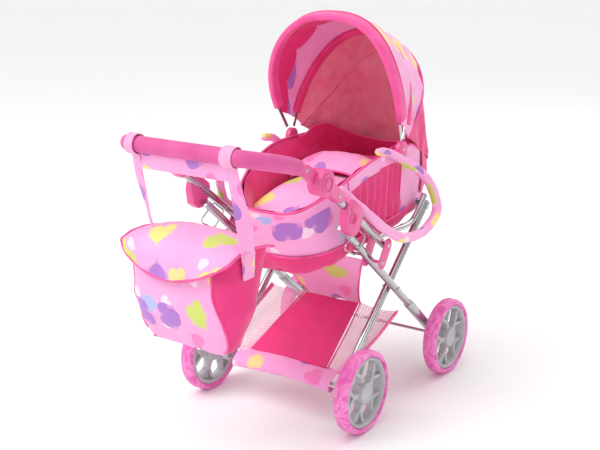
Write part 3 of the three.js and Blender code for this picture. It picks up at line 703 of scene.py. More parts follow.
def build_legs():
    cross = cross_point()
    leg_top = toward(LINK_PIVOT, FRONT_AXLE, -134)
    for side, s in SIDES:
        x = s * LEG_FRONT_X
        low = toward(FRONT_AXLE, LINK_PIVOT, FOOT_GAP)
        rod(f"front_leg_tube_{side}", at(x, *low), at(x, *leg_top), LEG_RADIUS, STEEL, "front_legs",
            nodes=(f"front_leg_{side}",))
        sleeve = [at(x, *toward(FRONT_AXLE, LINK_PIVOT, reach)) for reach in (40, 158)]
        rod(f"front_leg_sleeve_{side}", *sleeve, LEG_RADIUS + 2, STEEL, "front_legs", bevel=3)
        x = s * LEG_REAR_X
        low = toward(REAR_AXLE, SEAT_PIVOT, FOOT_GAP)
        high = toward(SEAT_PIVOT, REAR_AXLE, -8)
        rod(f"rear_leg_tube_{side}", at(x, *low), at(x, *high), LEG_RADIUS, STEEL, "rear_legs",
            nodes=(f"rear_leg_{side}",))
        cap = toward(SEAT_PIVOT, REAR_AXLE, -12)
        inner = toward(SEAT_PIVOT, REAR_AXLE, -4)
        rod(f"rear_leg_cap_{side}", at(x, *inner), at(x, *cap), LEG_RADIUS + 0.9, GREY_PLASTIC, "rear_legs",
            slot="grey_plastic", bevel=2)
        rivet = [at(x + s * reach, *SEAT_PIVOT) for reach in (-13, 9.4)]
        rod(f"seat_rivet_{side}", *rivet, RIVET_RADIUS, STEEL, "rear_legs")
        stud(f"seat_rivet_head_{side}", x + s * 7.6, SEAT_PIVOT, s, "rear_legs", 5)
        rod(f"leg_rivet_{side}", at(s * (LEG_REAR_X - 9.5), *cross), at(s * (LEG_FRONT_X + 9.5), *cross),
            RIVET_RADIUS, STEEL, "rear_legs", nodes=(f"cross_rivet_{side}",))
        stud(f"leg_rivet_head_{side}", s * (LEG_FRONT_X + 8), cross, s, "rear_legs", 5.2)
        refine(f"front_foot_{side}", DARK_PLASTIC, "front_legs")
        refine(f"rear_foot_{side}", GREY_PLASTIC, "rear_legs")
    for end, axle in (("front", FRONT_AXLE), ("rear", REAR_AXLE)):
        low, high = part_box(f"{end}_axle")
        rod(f"{end}_axle_rod", at(low.x * 1000, *axle), at(high.x * 1000, *axle), 3, STEEL, f"{end}_legs",
            nodes=(f"{end}_axle",))


def build_seat_frame():
    for side, s in SIDES:
        x = s * SEAT_X
        bends = (SEAT_REAR, (0, 331.5), (76, 331.3), (94, 338), (113, 353), (137, 377))
        path = [at(x, y, z) for y, z in bends]
        tube(f"seat_rail_{side}", spline(path, 40), SEAT_RADIUS, STEEL, "seat_frame", "steel", sides=24)
        tab_x = s * (LEG_REAR_X - LEG_RADIUS - 0.6)
        across = (SEAT_PIVOT[0] - 12, SEAT_PIVOT[1] + 12)
        plate(f"seat_tab_{side}", capsule((*SEAT_PIVOT, 8), (*across, 7)), tab_x - s * 2.4, tab_x, STEEL,
              "seat_frame", (f"seat_tube_{side}",), 0.5)
    reach = SEAT_X - SEAT_RADIUS - 1
    for end, y, drop in (("front", 62, 12), ("rear", -42, 34)):
        low = 331 - drop
        half = [(reach, 331), (reach - 7, 326), (reach - 16, low)]
        line = [at(x, y, z) for x, z in half + [(0, low)] + [(-x, z) for x, z in reversed(half)]]
        tube(f"cradle_wire_{end}", spline(line, 60), 3, STEEL, "seat_frame", "steel",
             (f"cradle_rod_{end}",), 14)


def capsule(a, b, steps=14):
    """Outline round two circles, each (y, z, radius)."""
    heading = math.atan2(b[1] - a[1], b[0] - a[0])
    half = math.pi / 2 - math.asin((a[2] - b[2]) / math.dist(a[:2], b[:2]))

    def arc(y, z, radius, first, last):
        turns = [mix(first, last, i / steps) for i in range(steps + 1)]
        return [(y + radius * math.cos(t), z + radius * math.sin(t)) for t in turns]
    return arc(*b, heading - half, heading + half) + arc(*a, heading + half, heading + 2 * math.pi - half)


# ---- Handle: tubes, locks, height joints and grip ----------------------------------------------
def beside_handle(along, up):
    """Side-view point beside the handle tube: along it from the seat rivet, and square to it, upwards."""
    reach = math.dist(SEAT_REAR, HUB)
    uy, uz = (HUB[0] - SEAT_REAR[0]) / reach, (HUB[1] - SEAT_REAR[1]) / reach
    return (SEAT_REAR[0] + uy * along + uz * up, SEAT_REAR[1] + uz * along - uy * up)


GRIP_HALF = 155
GRIP_SCREW = (-322, 514)


def grip_line(count):
    corner = [(0, -334, 520), (2, -362, 529), (8, -391, 537), (20, -411, 542), (40, *GRIP), (70, *GRIP)]
    right = [at(GRIP_HALF - inwards, y, z) for inwards, y, z in corner]
    left = [at(inwards - GRIP_HALF, y, z) for inwards, y, z in reversed(corner)]
    return spline(right + left, count)


def build_handle():
    neck = toward(HUB, SEAT_REAR, 52)
    for side, s in SIDES:
        x = s * HANDLE_X
        rod(f"handle_leg_{side}", at(x, *SEAT_REAR), at(x, *toward(neck, HUB, 16)), LEG_RADIUS, STEEL,
            "handle", nodes=(f"handle_tube_{side}",))
        stud(f"handle_rivet_head_{side}", x + s * 7.4, SEAT_REAR, s, "handle", 4.6, 1.2)
        for layer in ("outer", "inner"):
            refine(f"fold_link_{layer}_{side}", PINK_PLASTIC, "fold_links")
        link_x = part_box(f"fold_link_outer_{side}")[1 if s > 0 else 0].x * 1000
        stud(f"link_rivet_head_{side}", link_x, LINK_PIVOT, s, "fold_links", 5)
        stud(f"link_end_head_{side}", link_x, SEAT_REAR, s, "fold_links", 4.6)
        build_lock(side, s)
        refine(f"hub_lower_{side}", PINK_PLASTIC, "handle", 1.0)
        refine(f"hub_upper_{side}", PINK_PLASTIC, "grip", 1.0)
        face = x + s * 13
        ring = [(12.5, 0), (17, 0), (17, 1.1), (15.6, 1.8), (13.6, 1.8), (12.5, 1.1)]
        lathe(f"hub_ring_{side}", [(r, s * h) for r, h in ring], at(face, *HUB), 40, PINK_PLASTIC, "handle")
        stud(f"hub_cap_{side}", face, HUB, s, "handle", 9.5, 2.6, PINK_PLASTIC)
        stud(f"neck_screw_{side}", face, toward(neck, HUB, 6), s, "handle", 3.4, 1.2)
    build_grip()


def build_lock(side, s):
    low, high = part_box(f"fold_lock_{side}")
    face = (high.x if s > 0 else low.x) * 1000
    refine(f"fold_lock_{side}", PINK_PLASTIC, f"lock_{side}", 1.2)
    recess = beside_handle(146, -12)
    inner = (low.x if s > 0 else high.x) * 1000
    collar = [(8.6, 0), (11, 0), (11, 0.8), (10, 1.5), (9, 1.3), (8.6, 0.6)]
    dished = [(0, 0.8), (4, 1.0), (6.4, 1.9), (7.4, 2.1), (8, 1.5), (8, -2.4), (0, -2.4)]
    boss = [(0, 0), (11, 0), (11, 0.8), (10, 1.6), (8.2, 1.6), (7.4, 0.5), (0, 0.5)]
    lathe(f"button_collar_{side}", [(r, s * h) for r, h in collar], at(face, *recess), 36, PINK_PLASTIC,
          f"lock_{side}")
    lathe(f"release_button_{side}", [(r, s * (h - 1.6)) for r, h in dished], at(face, *recess), 36,
          BUTTON_PLASTIC, f"button_{side}", (f"lock_button_{side}",))
    lathe(f"lock_boss_{side}", [(r, -s * h) for r, h in boss], at(inner, *recess), 36, PINK_PLASTIC,
          f"lock_{side}")
    arrow = [beside_handle(along, up) for along, up in ((160, -6), (164, 2), (156, -1))]
    plate(f"lock_arrow_{side}", arrow, face, face + s * 0.7, BUTTON_PLASTIC, f"lock_{side}",
          bevel=0.2)
    wire = s * (LEG_FRONT_X + LEG_RADIUS + 0.6 + 1.3)
    corners = [at(wire, *beside_handle(*spot)) for spot in ((58, -11), (98, -11), (112, -58), (68, -52))]
    loop = []
    for i, point in enumerate(corners):
        following = corners[(i + 1) % 4]
        loop += [point.lerp(following, share) for share in (0.12, 0.5, 0.88)]
    rows = rings_along(spline(loop, 72, closed=True), 1.3, 10)[2:-2]
    rows[-1] = rows[0]
    piece = cloth(rows, STEEL, thickness=0)
    outward(piece)
    finish(piece, f"catch_wire_{side}", f"catch_{side}", (f"lock_catch_{side}",))


def build_grip():
    line = grip_line(120)
    tube("handle_grip", line, lambda t: GRIP_RADIUS - 0.8 * (1 - math.sin(math.pi * t)) ** 8, FOAM, "grip",
         "grip_foam", ("grip_foam", "grip_core"), 32)
    for i, (side, s) in enumerate(SIDES):
        near = line[:3] if i == 0 else line[-1:-4:-1]
        start = near[0] - (near[2] - near[0]).normalized() * 0.007
        rod(f"grip_collar_{side}", start, near[2], GRIP_RADIUS - 1.6, PINK_PLASTIC, "grip", "pink_plastic",
            bevel=2)
        stud(f"grip_screw_{side}", s * (HANDLE_X - 0.6), GRIP_SCREW, s, "grip", 3.6, 1.4)


# ---- Carrycot ----------------------------------------------------------------------------------
COT_FOOT = -213
COT_HEAD = 233
COT_MIDDLE = (COT_FOOT + COT_HEAD) / 2
COT_HALF_LENGTH = (COT_HEAD - COT_FOOT) / 2
COT_HALF_WIDTH = 120


def base_z(y):
    return 292 + 0.1248 * (y - COT_FOOT)


def rim_z(y):
    t = (y - COT_FOOT) / (COT_HEAD - COT_FOOT)
    return 396 + 84 * math.sin(math.pi / 2 * min(1, max(0, t) / 0.52)) - 62 * max(0, t - 0.72) / 0.28


def wall_level(p):
    """The share of the cot wall's height at which a point lies."""
    y = chassis_y(p)
    return (p.z * 1000 - base_z(y)) / (rim_z(y) - base_z(y))


def cot_ring(inset, level, count=144, lift=0.0):
    """Outline of the cot at a share of its height."""
    line = []
    for i in range(361):
        angle = math.radians(i)
        c, s = math.cos(angle), math.sin(angle)
        power = 0.62 if s < 0 else 0.5
        half_width = COT_HALF_WIDTH - inset - (8 * s if s > 0 else -14 * s) - 5 * (1 - level)
        half_length = COT_HALF_LENGTH - inset - (26 if s < 0 else 6) * (1 - level)
        x = half_width * math.copysign(abs(c) ** power, c)
        y = COT_MIDDLE + half_length * math.copysign(abs(s) ** power, s)
        line.append(at(x, y, mix(base_z(y), rim_z(y), level) + lift))
    return even(line, count + 1)


def belly(p):
    """How much a place on the cot's wall bulges: most at the foot."""
    return 1 - smooth_step((chassis_y(p) + 190) / 150)


def swell(ring, amount):
    """Moves a ring outwards from the cot's long axis, more at the foot."""
    centre = at(0, COT_MIDDLE, 0)
    out = []
    for p in ring:
        away = Vector((p.x, (p.y - centre.y) * 0.45, 0)).normalized()
        out.append(p + away * (amount * (0.25 + 0.75 * belly(p)) / 1000))
    return out


FOOT_SEAM = -112
HEAD_SEAM = 62
BAND_TOP = 0.175


def sag(p, level):
    """The soft base hangs below the board at the foot."""
    return p - Vector((0, 0, 0.02 * belly(p) * max(0, 1 - level / BAND_TOP)))


def gather(piece):
    """Fine upright folds in the plain side panels."""
    normals = [v.normal.copy() for v in piece.data.vertices]
    for vertex, normal in zip(piece.data.vertices, normals):
        y = chassis_y(vertex.co)
        held = smooth_step((y - FOOT_SEAM) / 12) * smooth_step((HEAD_SEAM - y) / 12)
        level = wall_level(vertex.co)
        held *= smooth_step((0.88 - level) / 0.2)
        wander = 5 * noise.noise(vertex.co * 14)
        vertex.co += normal * (0.0026 * held * math.sin(y / 3.6 + wander + level * 2))


def wall_ring(level, count=144):
    return swell(cot_ring(0, level, count), 11 * math.sin(math.pi * (level - 0.1) / 0.95))


def build_cot():
    levels = [0.16, 0.22, 0.3, 0.4, 0.5, 0.6, 0.7, 0.78, 0.84, 0.86, 0.92, 0.96, 1.0]
    rows = [wall_ring(level, 256) for level in levels]
    wall = cloth(rows, PRINT, DEEP_CLOTH, 3.2, BINDING, (1.8, 46, (1, 1, 0.6), 3.1), gather)
    wall.data.materials.append(CANDY_CLOTH)
    for polygon in wall.data.polygons:
        between_seams = FOOT_SEAM < chassis_y(polygon.center) < HEAD_SEAM
        if polygon.material_index == 0 and between_seams and wall_level(polygon.center) < 0.85:
            polygon.material_index = 3
    finish(wall, "cot_wall", "cot", ("cot_shell",))

    band_levels = [0.0, 0.02, 0.06, 0.1, 0.14, BAND_TOP]
    insets = [16, 7, 1.5, -0.6, -1.2, -0.4]
    rows = [[sag(p, level) for p in swell(cot_ring(inset, level), 5 * level / BAND_TOP)]
            for inset, level in zip(insets, band_levels)]
    band = cloth(rows, CANDY_CLOTH, DEEP_CLOTH, 2.4, creases=(5.0, 58, (1, 1, 1.8), 8.4))
    finish(band, "cot_base_band", "cot")
    centre = at(0, COT_MIDDLE, base_z(COT_MIDDLE) + 1)
    rows = [[mix(sag(p, 0), p, t).lerp(centre, t) for p in cot_ring(15.5, 0.012)] for t in (0, 0.3, 0.65, 1)]
    floor = cloth(rows, DEEP_CLOTH, CANDY_CLOTH, 3.5)
    finish(floor, "cot_floor", "cot")
    closed_piping("cot_base_piping", swell(cot_ring(-1.4, 0.17), 5), 1.9, "cot")
    closed_piping("cot_rim_piping", swell(cot_ring(1, 1.0, lift=0.6), 1.5), 2.5, "cot")
    for side, s in SIDES:
        for seam, place in (("foot", FOOT_SEAM), ("head", HEAD_SEAM)):
            line = []
            for level in levels:
                half = (p for p in wall_ring(level) if p.x * s > 0)
                on_seam = min(half, key=lambda p: abs(chassis_y(p) - place))
                line.append(on_seam + Vector((s * 0.0006, 0, 0)))
            piping(f"cot_{seam}_seam_{side}", spline(line, 30), 1.5, "cot", 8)
    rows = [cot_ring(inset, level) for inset, level in
            ((6.5, 0.995), (9, 0.93), (13, 0.8), (15, 0.6), (15, 0.4), (18, 0.2), (24, 0.1))]
    lining = cloth([list(reversed(row)) for row in rows], DEEP_CLOTH, DEEP_CLOTH, 1.4,
                   creases=(3.4, 40, (1, 1, 0.5), 5.2))
    finish(lining, "cot_lining", "cot")
    build_head_pocket()


def head_arc(inset, level, start, count):
    """The part of the cot's outline round its head, from right to left, beyond a place along the cot."""
    ring = cot_ring(inset, level, 400)[:-1]
    return even([p for p in ring if chassis_y(p) > start], count)


POCKET_START = 58
WALL_FOLD_START = 150


def build_head_pocket():
    """The plain wings and panel that stand inside the head of the cot, behind the pillow."""
    low, high = head_arc(9, 0.72, POCKET_START, 81), head_arc(13, 1.0, POCKET_START, 81)
    rows = []
    for t in shares(12):
        row = []
        for a, b in zip(low, high):
            rise = 40 * smooth_step((chassis_y(b) - POCKET_START) / 110) - 7 * (1 - abs(b.x) / 0.12)
            row.append(a.lerp(b + Vector((0, -0.012 * t, max(2, rise) / 1000)), t))
        rows.append(row)
    pocket = cloth(rows, DEEP_CLOTH, CANDY_CLOTH, 1.6, creases=(3.4, 38, (1, 1, 1), 21.4))
    finish(pocket, "head_pocket", "cot")
    piping("head_pocket_piping", rows[-1], 1.8, "cot")
    rows = [head_arc(-4 - 3 * math.sin(math.pi * t), mix(0.99, 0.3, t), WALL_FOLD_START, 81)
            for t in shares(14)]
    skirt = cloth(rows, CANDY_CLOTH, DEEP_CLOTH, 1.6, creases=(3.2, 44, (1, 1, 0.6), 17.9))
    finish(skirt, "hood_skirt", "cot")


def closed_piping(name, ring, radius, body):
    rows = rings_along(ring, radius, 12)[2:-2]
    rows[-1] = list(rows[0])
    piece = cloth(rows, BINDING, thickness=0)
    outward(piece)
    return finish(piece, name, body)


def pad_shape(y0, y1, half_width, low, high, crown):
    """A crowned closed cushion between two places along the cot: rows run round its section."""
    rows = []
    edge = low + (high - low) * 0.3
    for t in shares(36):
        y = mix(y0, y1, t)
        ends = (max(0, 1 - abs(2 * t - 1) ** 3.2)) ** 0.5
        width = half_width * (0.86 + 0.14 * ends) * (1 if 0 < t < 1 else 0.9)
        row = []
        for j in range(73):
            angle = 2 * math.pi * j / 72
            c, s = math.cos(angle), math.sin(angle)
            x = width * math.copysign(abs(c) ** 0.55, c)
            top = mix(edge, high + crown * (1 - (x / half_width) ** 2), ends)
            floor = mix(edge, low, ends)
            up = math.copysign(abs(s) ** 0.55, s)
            z = base_z(y) + mix(floor, top, (up + 1) / 2)
            row.append(at(x, y, z))
        rows.append(row)
    first = sum(rows[0], Vector()) / len(rows[0])
    last = sum(rows[-1], Vector()) / len(rows[-1])
    return [[first] * 73] + rows + [[last] * 73]


def puff(piece, cap=0.005):
    """Swells a stuffed piece by cloth simulation, with no point moved further than cap."""
    pick(piece)
    remesh = piece.modifiers.new("even", "REMESH")
    remesh.mode = "VOXEL"
    remesh.voxel_size = 0.006
    apply_all(piece)
    rest = [v.co.copy() for v in piece.data.vertices]
    cloth_settings = piece.modifiers.new("stuffing", "CLOTH").settings
    cloth_settings.use_pressure = True
    cloth_settings.uniform_pressure_force = 3.0
    cloth_settings.effector_weights.gravity = 0
    scene = bpy.context.scene
    for step in range(1, 19):
        scene.frame_set(step)
    apply_all(piece)
    scene.frame_set(1)
    for vertex, origin in zip(piece.data.vertices, rest):
        move = vertex.co - origin
        if move.length > cap:
            vertex.co = origin + move * (cap / move.length)


def map_flat(piece, turn=0.0):
    """Gives a cushion a UV map in metres seen from above, wrapped down its sides."""
    if not piece.data.uv_layers:
        piece.data.uv_layers.new(name="UVMap")
    layer = piece.data.uv_layers.active.data
    for polygon in piece.data.polygons:
        for index in polygon.loop_indices:
            p = piece.data.vertices[piece.data.loops[index].vertex_index].co
            layer[index].uv = (p.x + turn, p.y * 0.96 + p.z * 0.55 + turn)


def build_bedding():
    quilt = cloth(pad_shape(-172, 66, 92, 26, 98, 8), PRINT, thickness=0)
    outward(quilt)
    puff(quilt)
    rumple(quilt, 2.4, 55, (1, 0.8, 1), 7.7)
    map_flat(quilt, 0.31)
    finish(quilt, "quilt_pad", "cot", ("quilt",), 60)
    pillow = cloth(pad_shape(76, 206, 88, 26, 84, 10), CANDY_CLOTH, thickness=0)
    outward(pillow)
    puff(pillow)
    rumple(pillow, 2.0, 45, (1, 1, 1), 2.2)
    map_flat(pillow)
    finish(pillow, "pillow_pad", "cot", ("pillow",), 60)
    cover_rows = []
    for t in shares(14):
        y = mix(-4, 76, t)
        row = []
        for u in [mix(-1, 1, k) for k in shares(32)]:
            lift = 104 + 34 * math.sin(math.pi * min(1, t * 0.75 + 0.12)) - 26 * abs(u) ** 3
            row.append(at(92 * u, y, base_z(y) + lift))
        cover_rows.append(row)
    cover = cloth(cover_rows, PRINT, CANDY_CLOTH, 2, creases=(2.2, 40, (1, 1, 1), 4.9))
    finish(cover, "blanket_fold", "cot")
    piping("blanket_piping", cover_rows[0], 2.2, "cot")


def carry_points(s):
    spots = [(133, -177, 452), (160, -140, 408), (185, -92, 362), (185, -30, 336), (185, 44, 334),
             (180, 100, 362), (166, 98, 406), (152, 72, 440), (142, 32, 464), (131, -10, 486),
             (130, -42, 492)]
    return [at(s * x, y, z) for x, y, z in spots]


def build_carry_handles():
    for side, s in SIDES:
        line = spline(carry_points(s), 90)

        def fat(t):
            return 6.6 + 2.6 * math.sin(math.pi * t) ** 0.5
        piece = cloth(rings_along(line, fat, 20), PRINT, thickness=0)
        rumple(piece, 1.0, 16, (1, 1, 1), 6.0 + s)
        outward(piece)
        finish(piece, f"carry_strap_{side}", f"carry_{side}", (f"carry_handle_{side}",), 60)


# ---- Hood --------------------------------------------------------------------------------------
HINGE_X = 126
# half width, rise, squareness, lean in degrees, forward bulge
FRONT_ARCH = (157, 254, 2.5, 13, 22)
MID_ARCH = (137, 226, 2.1, -20.6, 0)
HEAD_ARCH = (121, 254, 1.7, -47, -34)


def arch(form, count, start=0.14, inside=0.0, forward=0.0):
    """Points of an arch over the cot, in a plane through the hinge line."""
    half, rise, power, lean, bulge = form
    half, rise = half - inside, rise - inside
    angle = math.radians(lean)
    line = []
    for share in shares(240):
        phi = mix(start, math.pi - start, share)
        t = abs(math.sin(phi)) ** (2 / power)
        draw = mix(HINGE_X / half, 1, 1 - (1 - t) ** 3)
        x = draw * half * math.copysign(abs(math.cos(phi)) ** (2 / power), math.cos(phi))
        y = HOOD_PIVOT[0] - rise * t * math.sin(angle) - bulge * math.sin(math.pi * t)
        line.append(at(x, y - forward * math.cos(angle), HOOD_PIVOT[1] + rise * t * math.cos(angle)
                       - forward * math.sin(angle)))
    return even(line, count)


def arch_between(a, b, t, count, inside=0.0):
    return arch(tuple(mix(p, q, t) for p, q in zip(a, b)), count, inside=inside)


SCALLOPS = 8


def build_hood():
    count = 97
    rows = [arch_between(FRONT_ARCH, MID_ARCH, t, count) for t in reversed(shares(15))]
    front = cloth(rows, PRINT, PRINT, 1.4, creases=(2.0, 52, (1, 1, 1), 1.7))
    finish(front, "hood_front_panel", None, ("canopy_front",))
    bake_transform(front)

    lean = math.radians(FRONT_ARCH[3])
    line = arch(FRONT_ARCH, 150, start=0.17, inside=3.5, forward=-6)
    tube("hood_front_binding", line, 6.6, BINDING, "hood_front", "pink_cloth", sides=36, flat=(12, 6.5),
         up=Vector((0, -math.cos(lean), -math.sin(lean))))
    line = arch(FRONT_ARCH, 150, start=0.19, inside=-2.6, forward=-16.5)
    tube("hood_binding_seam", line, 1.4, DEEP_CLOTH, "hood_front", "pink_cloth", sides=10)
    layers = [arch_between(FRONT_ARCH, MID_ARCH, k / 24, 193, inside=5.5) for k in range(14)]
    rows = []
    for t in shares(8):
        row = []
        for j in range(193):
            scallop = 0.78 + 0.22 * abs(math.sin(math.pi * SCALLOPS * j / 192)) ** 0.6
            depth = 12 * t * scallop
            k = int(depth)
            row.append(layers[k][j].lerp(layers[k + 1][j], depth - k))
        rows.append(row)
    visor = cloth(rows, CANDY_CLOTH, CANDY_CLOTH, 1.6, creases=(1.3, 30, (1, 1, 1), 9.3))
    finish(visor, "hood_visor", None)
    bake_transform(visor)

    line = arch(MID_ARCH, 130, start=0.2, inside=5)
    lean = math.radians(MID_ARCH[3])
    tube("mid_bow_sleeve", line, 5.4, DEEP_CLOTH, "hood_mid", "pink_cloth", sides=24, flat=(9.5, 5.6),
         up=Vector((0, -math.cos(lean), -math.sin(lean))))
    line = arch(MID_ARCH, 130, start=0.2, inside=9.6, forward=7)
    tube("mid_bow_seam", line, 1.2, CANDY_CLOTH, "hood_mid", "pink_cloth", sides=8)

    rows = [arch_between(MID_ARCH, HEAD_ARCH, t, count) for t in reversed(shares(12))]
    rear = cloth(rows, PRINT, SALMON_CLOTH, 1.6, creases=(4.0, 46, (1, 1, 1), 12.6))
    finish(rear, "hood_rear_panel", None, ("canopy_rear",))
    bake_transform(rear)

    head = arch(HEAD_ARCH, count)
    fold = head_arc(-4, 0.99, WALL_FOLD_START, count)
    wall_rows = []
    for t in shares(16):
        bulge = Vector((0, 0.006 * math.sin(math.pi * t), 0))
        wall_rows.append([a.lerp(b, t) + bulge for a, b in zip(head, fold)])
    wall = cloth(wall_rows[::-1], CANDY_CLOTH, SALMON_CLOTH, 1.6, creases=(5.4, 44, (1, 1, 1), 15.1))
    finish(wall, "hood_head_wall", None)
    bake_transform(wall)
    seam = piping("hood_head_piping", arch(HEAD_ARCH, count, inside=-2.5, forward=-1.5), 2.6, None, 12)
    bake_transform(seam)
    for side, s in SIDES:
        refine(f"hood_hinge_{side}", PINK_PLASTIC, "cot", 1.4)
        x = s * 132.2
        stud(f"hood_hinge_rivet_{side}", x, HOOD_PIVOT, s, "cot", 3.6, 1.4)
        stud(f"hood_hinge_boss_{side}", x - s * 0.3, (HOOD_PIVOT[0], HOOD_PIVOT[1] + 0.1), s, "cot", 9.5,
             1.0, PINK_PLASTIC)


# ---- Basket ------------------------------------------------------------------------------------
def right_to_left(count):
    """Shares across a panel, from 1 at the right edge to -1 at the left."""
    return [mix(1, -1, k) for k in shares(count)]


def build_basket():
    rear, front = (-146, 92), (7, 168)
    rows = []
    for t in shares(20):
        y, z = mix(rear[0], front[0], t), mix(rear[1], front[1], t)
        half = mix(86, 62, t)
        rows.append([at(half * u, y, z + 2.2 - 2.5 * (1 - u * u) * math.sin(math.pi * t))
                     for u in right_to_left(24)])
    board = cloth(rows, CANDY_CLOTH, CANDY_CLOTH, 4.2, creases=(0.9, 60, (1, 1, 1), 3.3))
    finish(board, "basket_floor", "rear_legs", ("basket_board",))

    lip = [(-138, 97), (-152, 95), (-166, 90), (-176, 82), (-177, 71), (-168, 66), (-158, 70)]
    path = spline([at(0, y, z) for y, z in lip], 18)
    rows = [[p + Vector((u * 0.112, 0, -0.006 * u * u)) for u in right_to_left(36)] for p in path]
    lip_piece = cloth(rows, PRINT, PRINT, 1.4, creases=(1.5, 40, (1, 1, 1), 5.5))
    finish(lip_piece, "basket_rear_lip", "rear_legs")

    top = (LINK_PIVOT[0] + 26, LINK_PIVOT[1] - 12)
    rows = []
    for t in shares(24):
        y, z = mix(12, top[0], t), mix(172, top[1], t)
        half = mix(62, 118, t ** 1.3)
        rows.append([at(half * u, y + 6 * (1 - u * u) * math.sin(math.pi * t), z) for u in right_to_left(40)])
    panel = cloth(rows, PRINT, PRINT, 1.6, creases=(2.2, 44, (1, 1, 1), 2.9))
    finish(panel, "basket_front_panel", "rear_legs", ("basket_panel",))
    for side, s in SIDES:
        edge = [row[0 if s > 0 else -1] for row in rows]
        piping(f"panel_piping_{side}", edge, 2.2, "rear_legs")
        build_basket_side(side, s)


def build_basket_side(side, s):
    outer = spline([at(s * 118, -150, 92), at(s * 143, -76, 134), at(s * 148, 10, 172)], 25)
    inner = spline([at(s * 88, -143, 95), at(s * 79, -70, 132), at(s * 66, 9, 174)], 25)
    rows = []
    for t in shares(12):
        droop = Vector((0, 0, -0.005 * math.sin(math.pi * t)))
        rows.append([a.lerp(b, t) + droop for a, b in zip(outer, inner)])
    net = cloth(rows, NET, NET, 0.8)
    finish(net, f"basket_net_{side}", "rear_legs", (f"basket_side_{side}",))
    upwards = Vector((s * 0.3, -0.4, 0.86))
    piping(f"net_binding_{side}", outer, 3, "rear_legs", 14, flat=(5.5, 1.6), up=upwards)
    piping(f"net_seam_{side}", inner, 1.6, "rear_legs")


# ---- Bag on the grip ---------------------------------------------------------------------------
BAG_X = -19
BAG_TOP = 384
BAG_HEIGHT = 178
BAG_HALF = 117.5
BAG_FRONT = -430
BAG_DEPTH = 112


def bag_ring(t, count=120):
    """Outline of the bag at a share of its height, deepest at the top."""
    half = mix(BAG_HALF - 40, BAG_HALF, min(1, t * 2.4) ** 0.55)
    front = BAG_FRONT + 16 * (1 - t) ** 2
    back = mix(BAG_FRONT + 26, BAG_FRONT + BAG_DEPTH, t ** 0.8)
    line = []
    for i in range(361):
        angle = math.radians(i) - math.pi / 2
        c, s = math.cos(angle), math.sin(angle)
        puffed = 9 * math.sin(math.pi * min(1, t * 1.05)) ** 0.8 * max(0, -s) ** 2
        line.append(at(BAG_X + half * math.copysign(abs(c) ** 0.4, c),
                       (front + back) / 2 + (back - front) / 2 * math.copysign(abs(s) ** 0.6, s) - puffed,
                       mix(BAG_TOP - BAG_HEIGHT, BAG_TOP, t)))
    return even(line, count + 1)


# columns of the bag's rows: the front's middle is 0, and the gussets lie between these
RIGHT_GUSSET = (24, 44)
LEFT_GUSSET = (76, 96)


def bag_row(t):
    """The bag's outline with its gusset seams at the same columns at every height."""
    ring = bag_ring(t, count=720)
    front_y = min(p.y for p in ring) + 0.022
    half = (max(p.x for p in ring) - min(p.x for p in ring)) / 2
    # the right seam runs to a point at the bottom
    insets = (0.004 + 0.04 * smooth_step(t / 0.62), 0.003)
    cuts = []
    for (_, s), inset in zip(SIDES, insets):
        want = BAG_X / 1000 + s * (half - inset)
        in_front = (i for i, p in enumerate(ring) if p.y < front_y)
        cuts.append(min(in_front, key=lambda i: abs(ring[i].x - want)))
    right, left = cuts
    return even(ring[:right + 1], 25) + even(ring[right:left + 1], 73)[1:] + even(ring[left:], 25)[1:]


def build_bag():
    rows = [bag_row(t) for t in shares(24)]
    floor = [[p.lerp(at(BAG_X, BAG_FRONT + 22, BAG_TOP - BAG_HEIGHT - drop), share) for p in rows[0]]
             for drop, share in ((1, 0.98), (2, 0.4))]
    seams = {}

    def note_seams(piece):
        """Keeps the numbers of the points on the gusset seams, for the piping."""
        for name, column in (("right", RIGHT_GUSSET[0]), ("left", LEFT_GUSSET[1])):
            places = [row[column] for row in rows]
            seams[name] = [min(piece.data.vertices, key=lambda v: (v.co - p).length).index for p in places]

    body = cloth(floor + rows, PRINT, DEEP_CLOTH, 2.2, edge=BINDING, creases=(2.6, 48, (1, 1, 0.8), 11.2),
                 shape=note_seams)
    body.data.materials.append(CANDY_CLOTH)
    # the UV map counts columns and rows in metres
    column = length_of((floor + rows)[13]) / 120
    level = length_of([row[60] for row in floor + rows]) / 26
    for polygon in body.data.polygons:
        if polygon.material_index:
            continue
        corners = [body.data.uv_layers.active.data[k].uv for k in polygon.loop_indices]
        across = sum(c.x for c in corners) / 4 / column
        high = sum(c.y for c in corners) / 4 / level > 2
        if high and any(a < across < b for a, b in (RIGHT_GUSSET, LEFT_GUSSET)):
            polygon.material_index = 3
    finish(body, "bag_sack", "bag", ("bag_body",))
    for side, s in SIDES:
        line = [body.data.vertices[k].co.copy() for k in seams[side]]
        piping(f"bag_corner_piping_{side}", spline(line, 70), 2.1, "bag")
        edge = [max(bag_ring(t), key=lambda p: s * p.x + 0.9 * p.y) for t in shares(10)]
        piping(f"bag_back_piping_{side}", spline(edge, 50), 1.9, "bag")
    build_flap()
    build_straps()


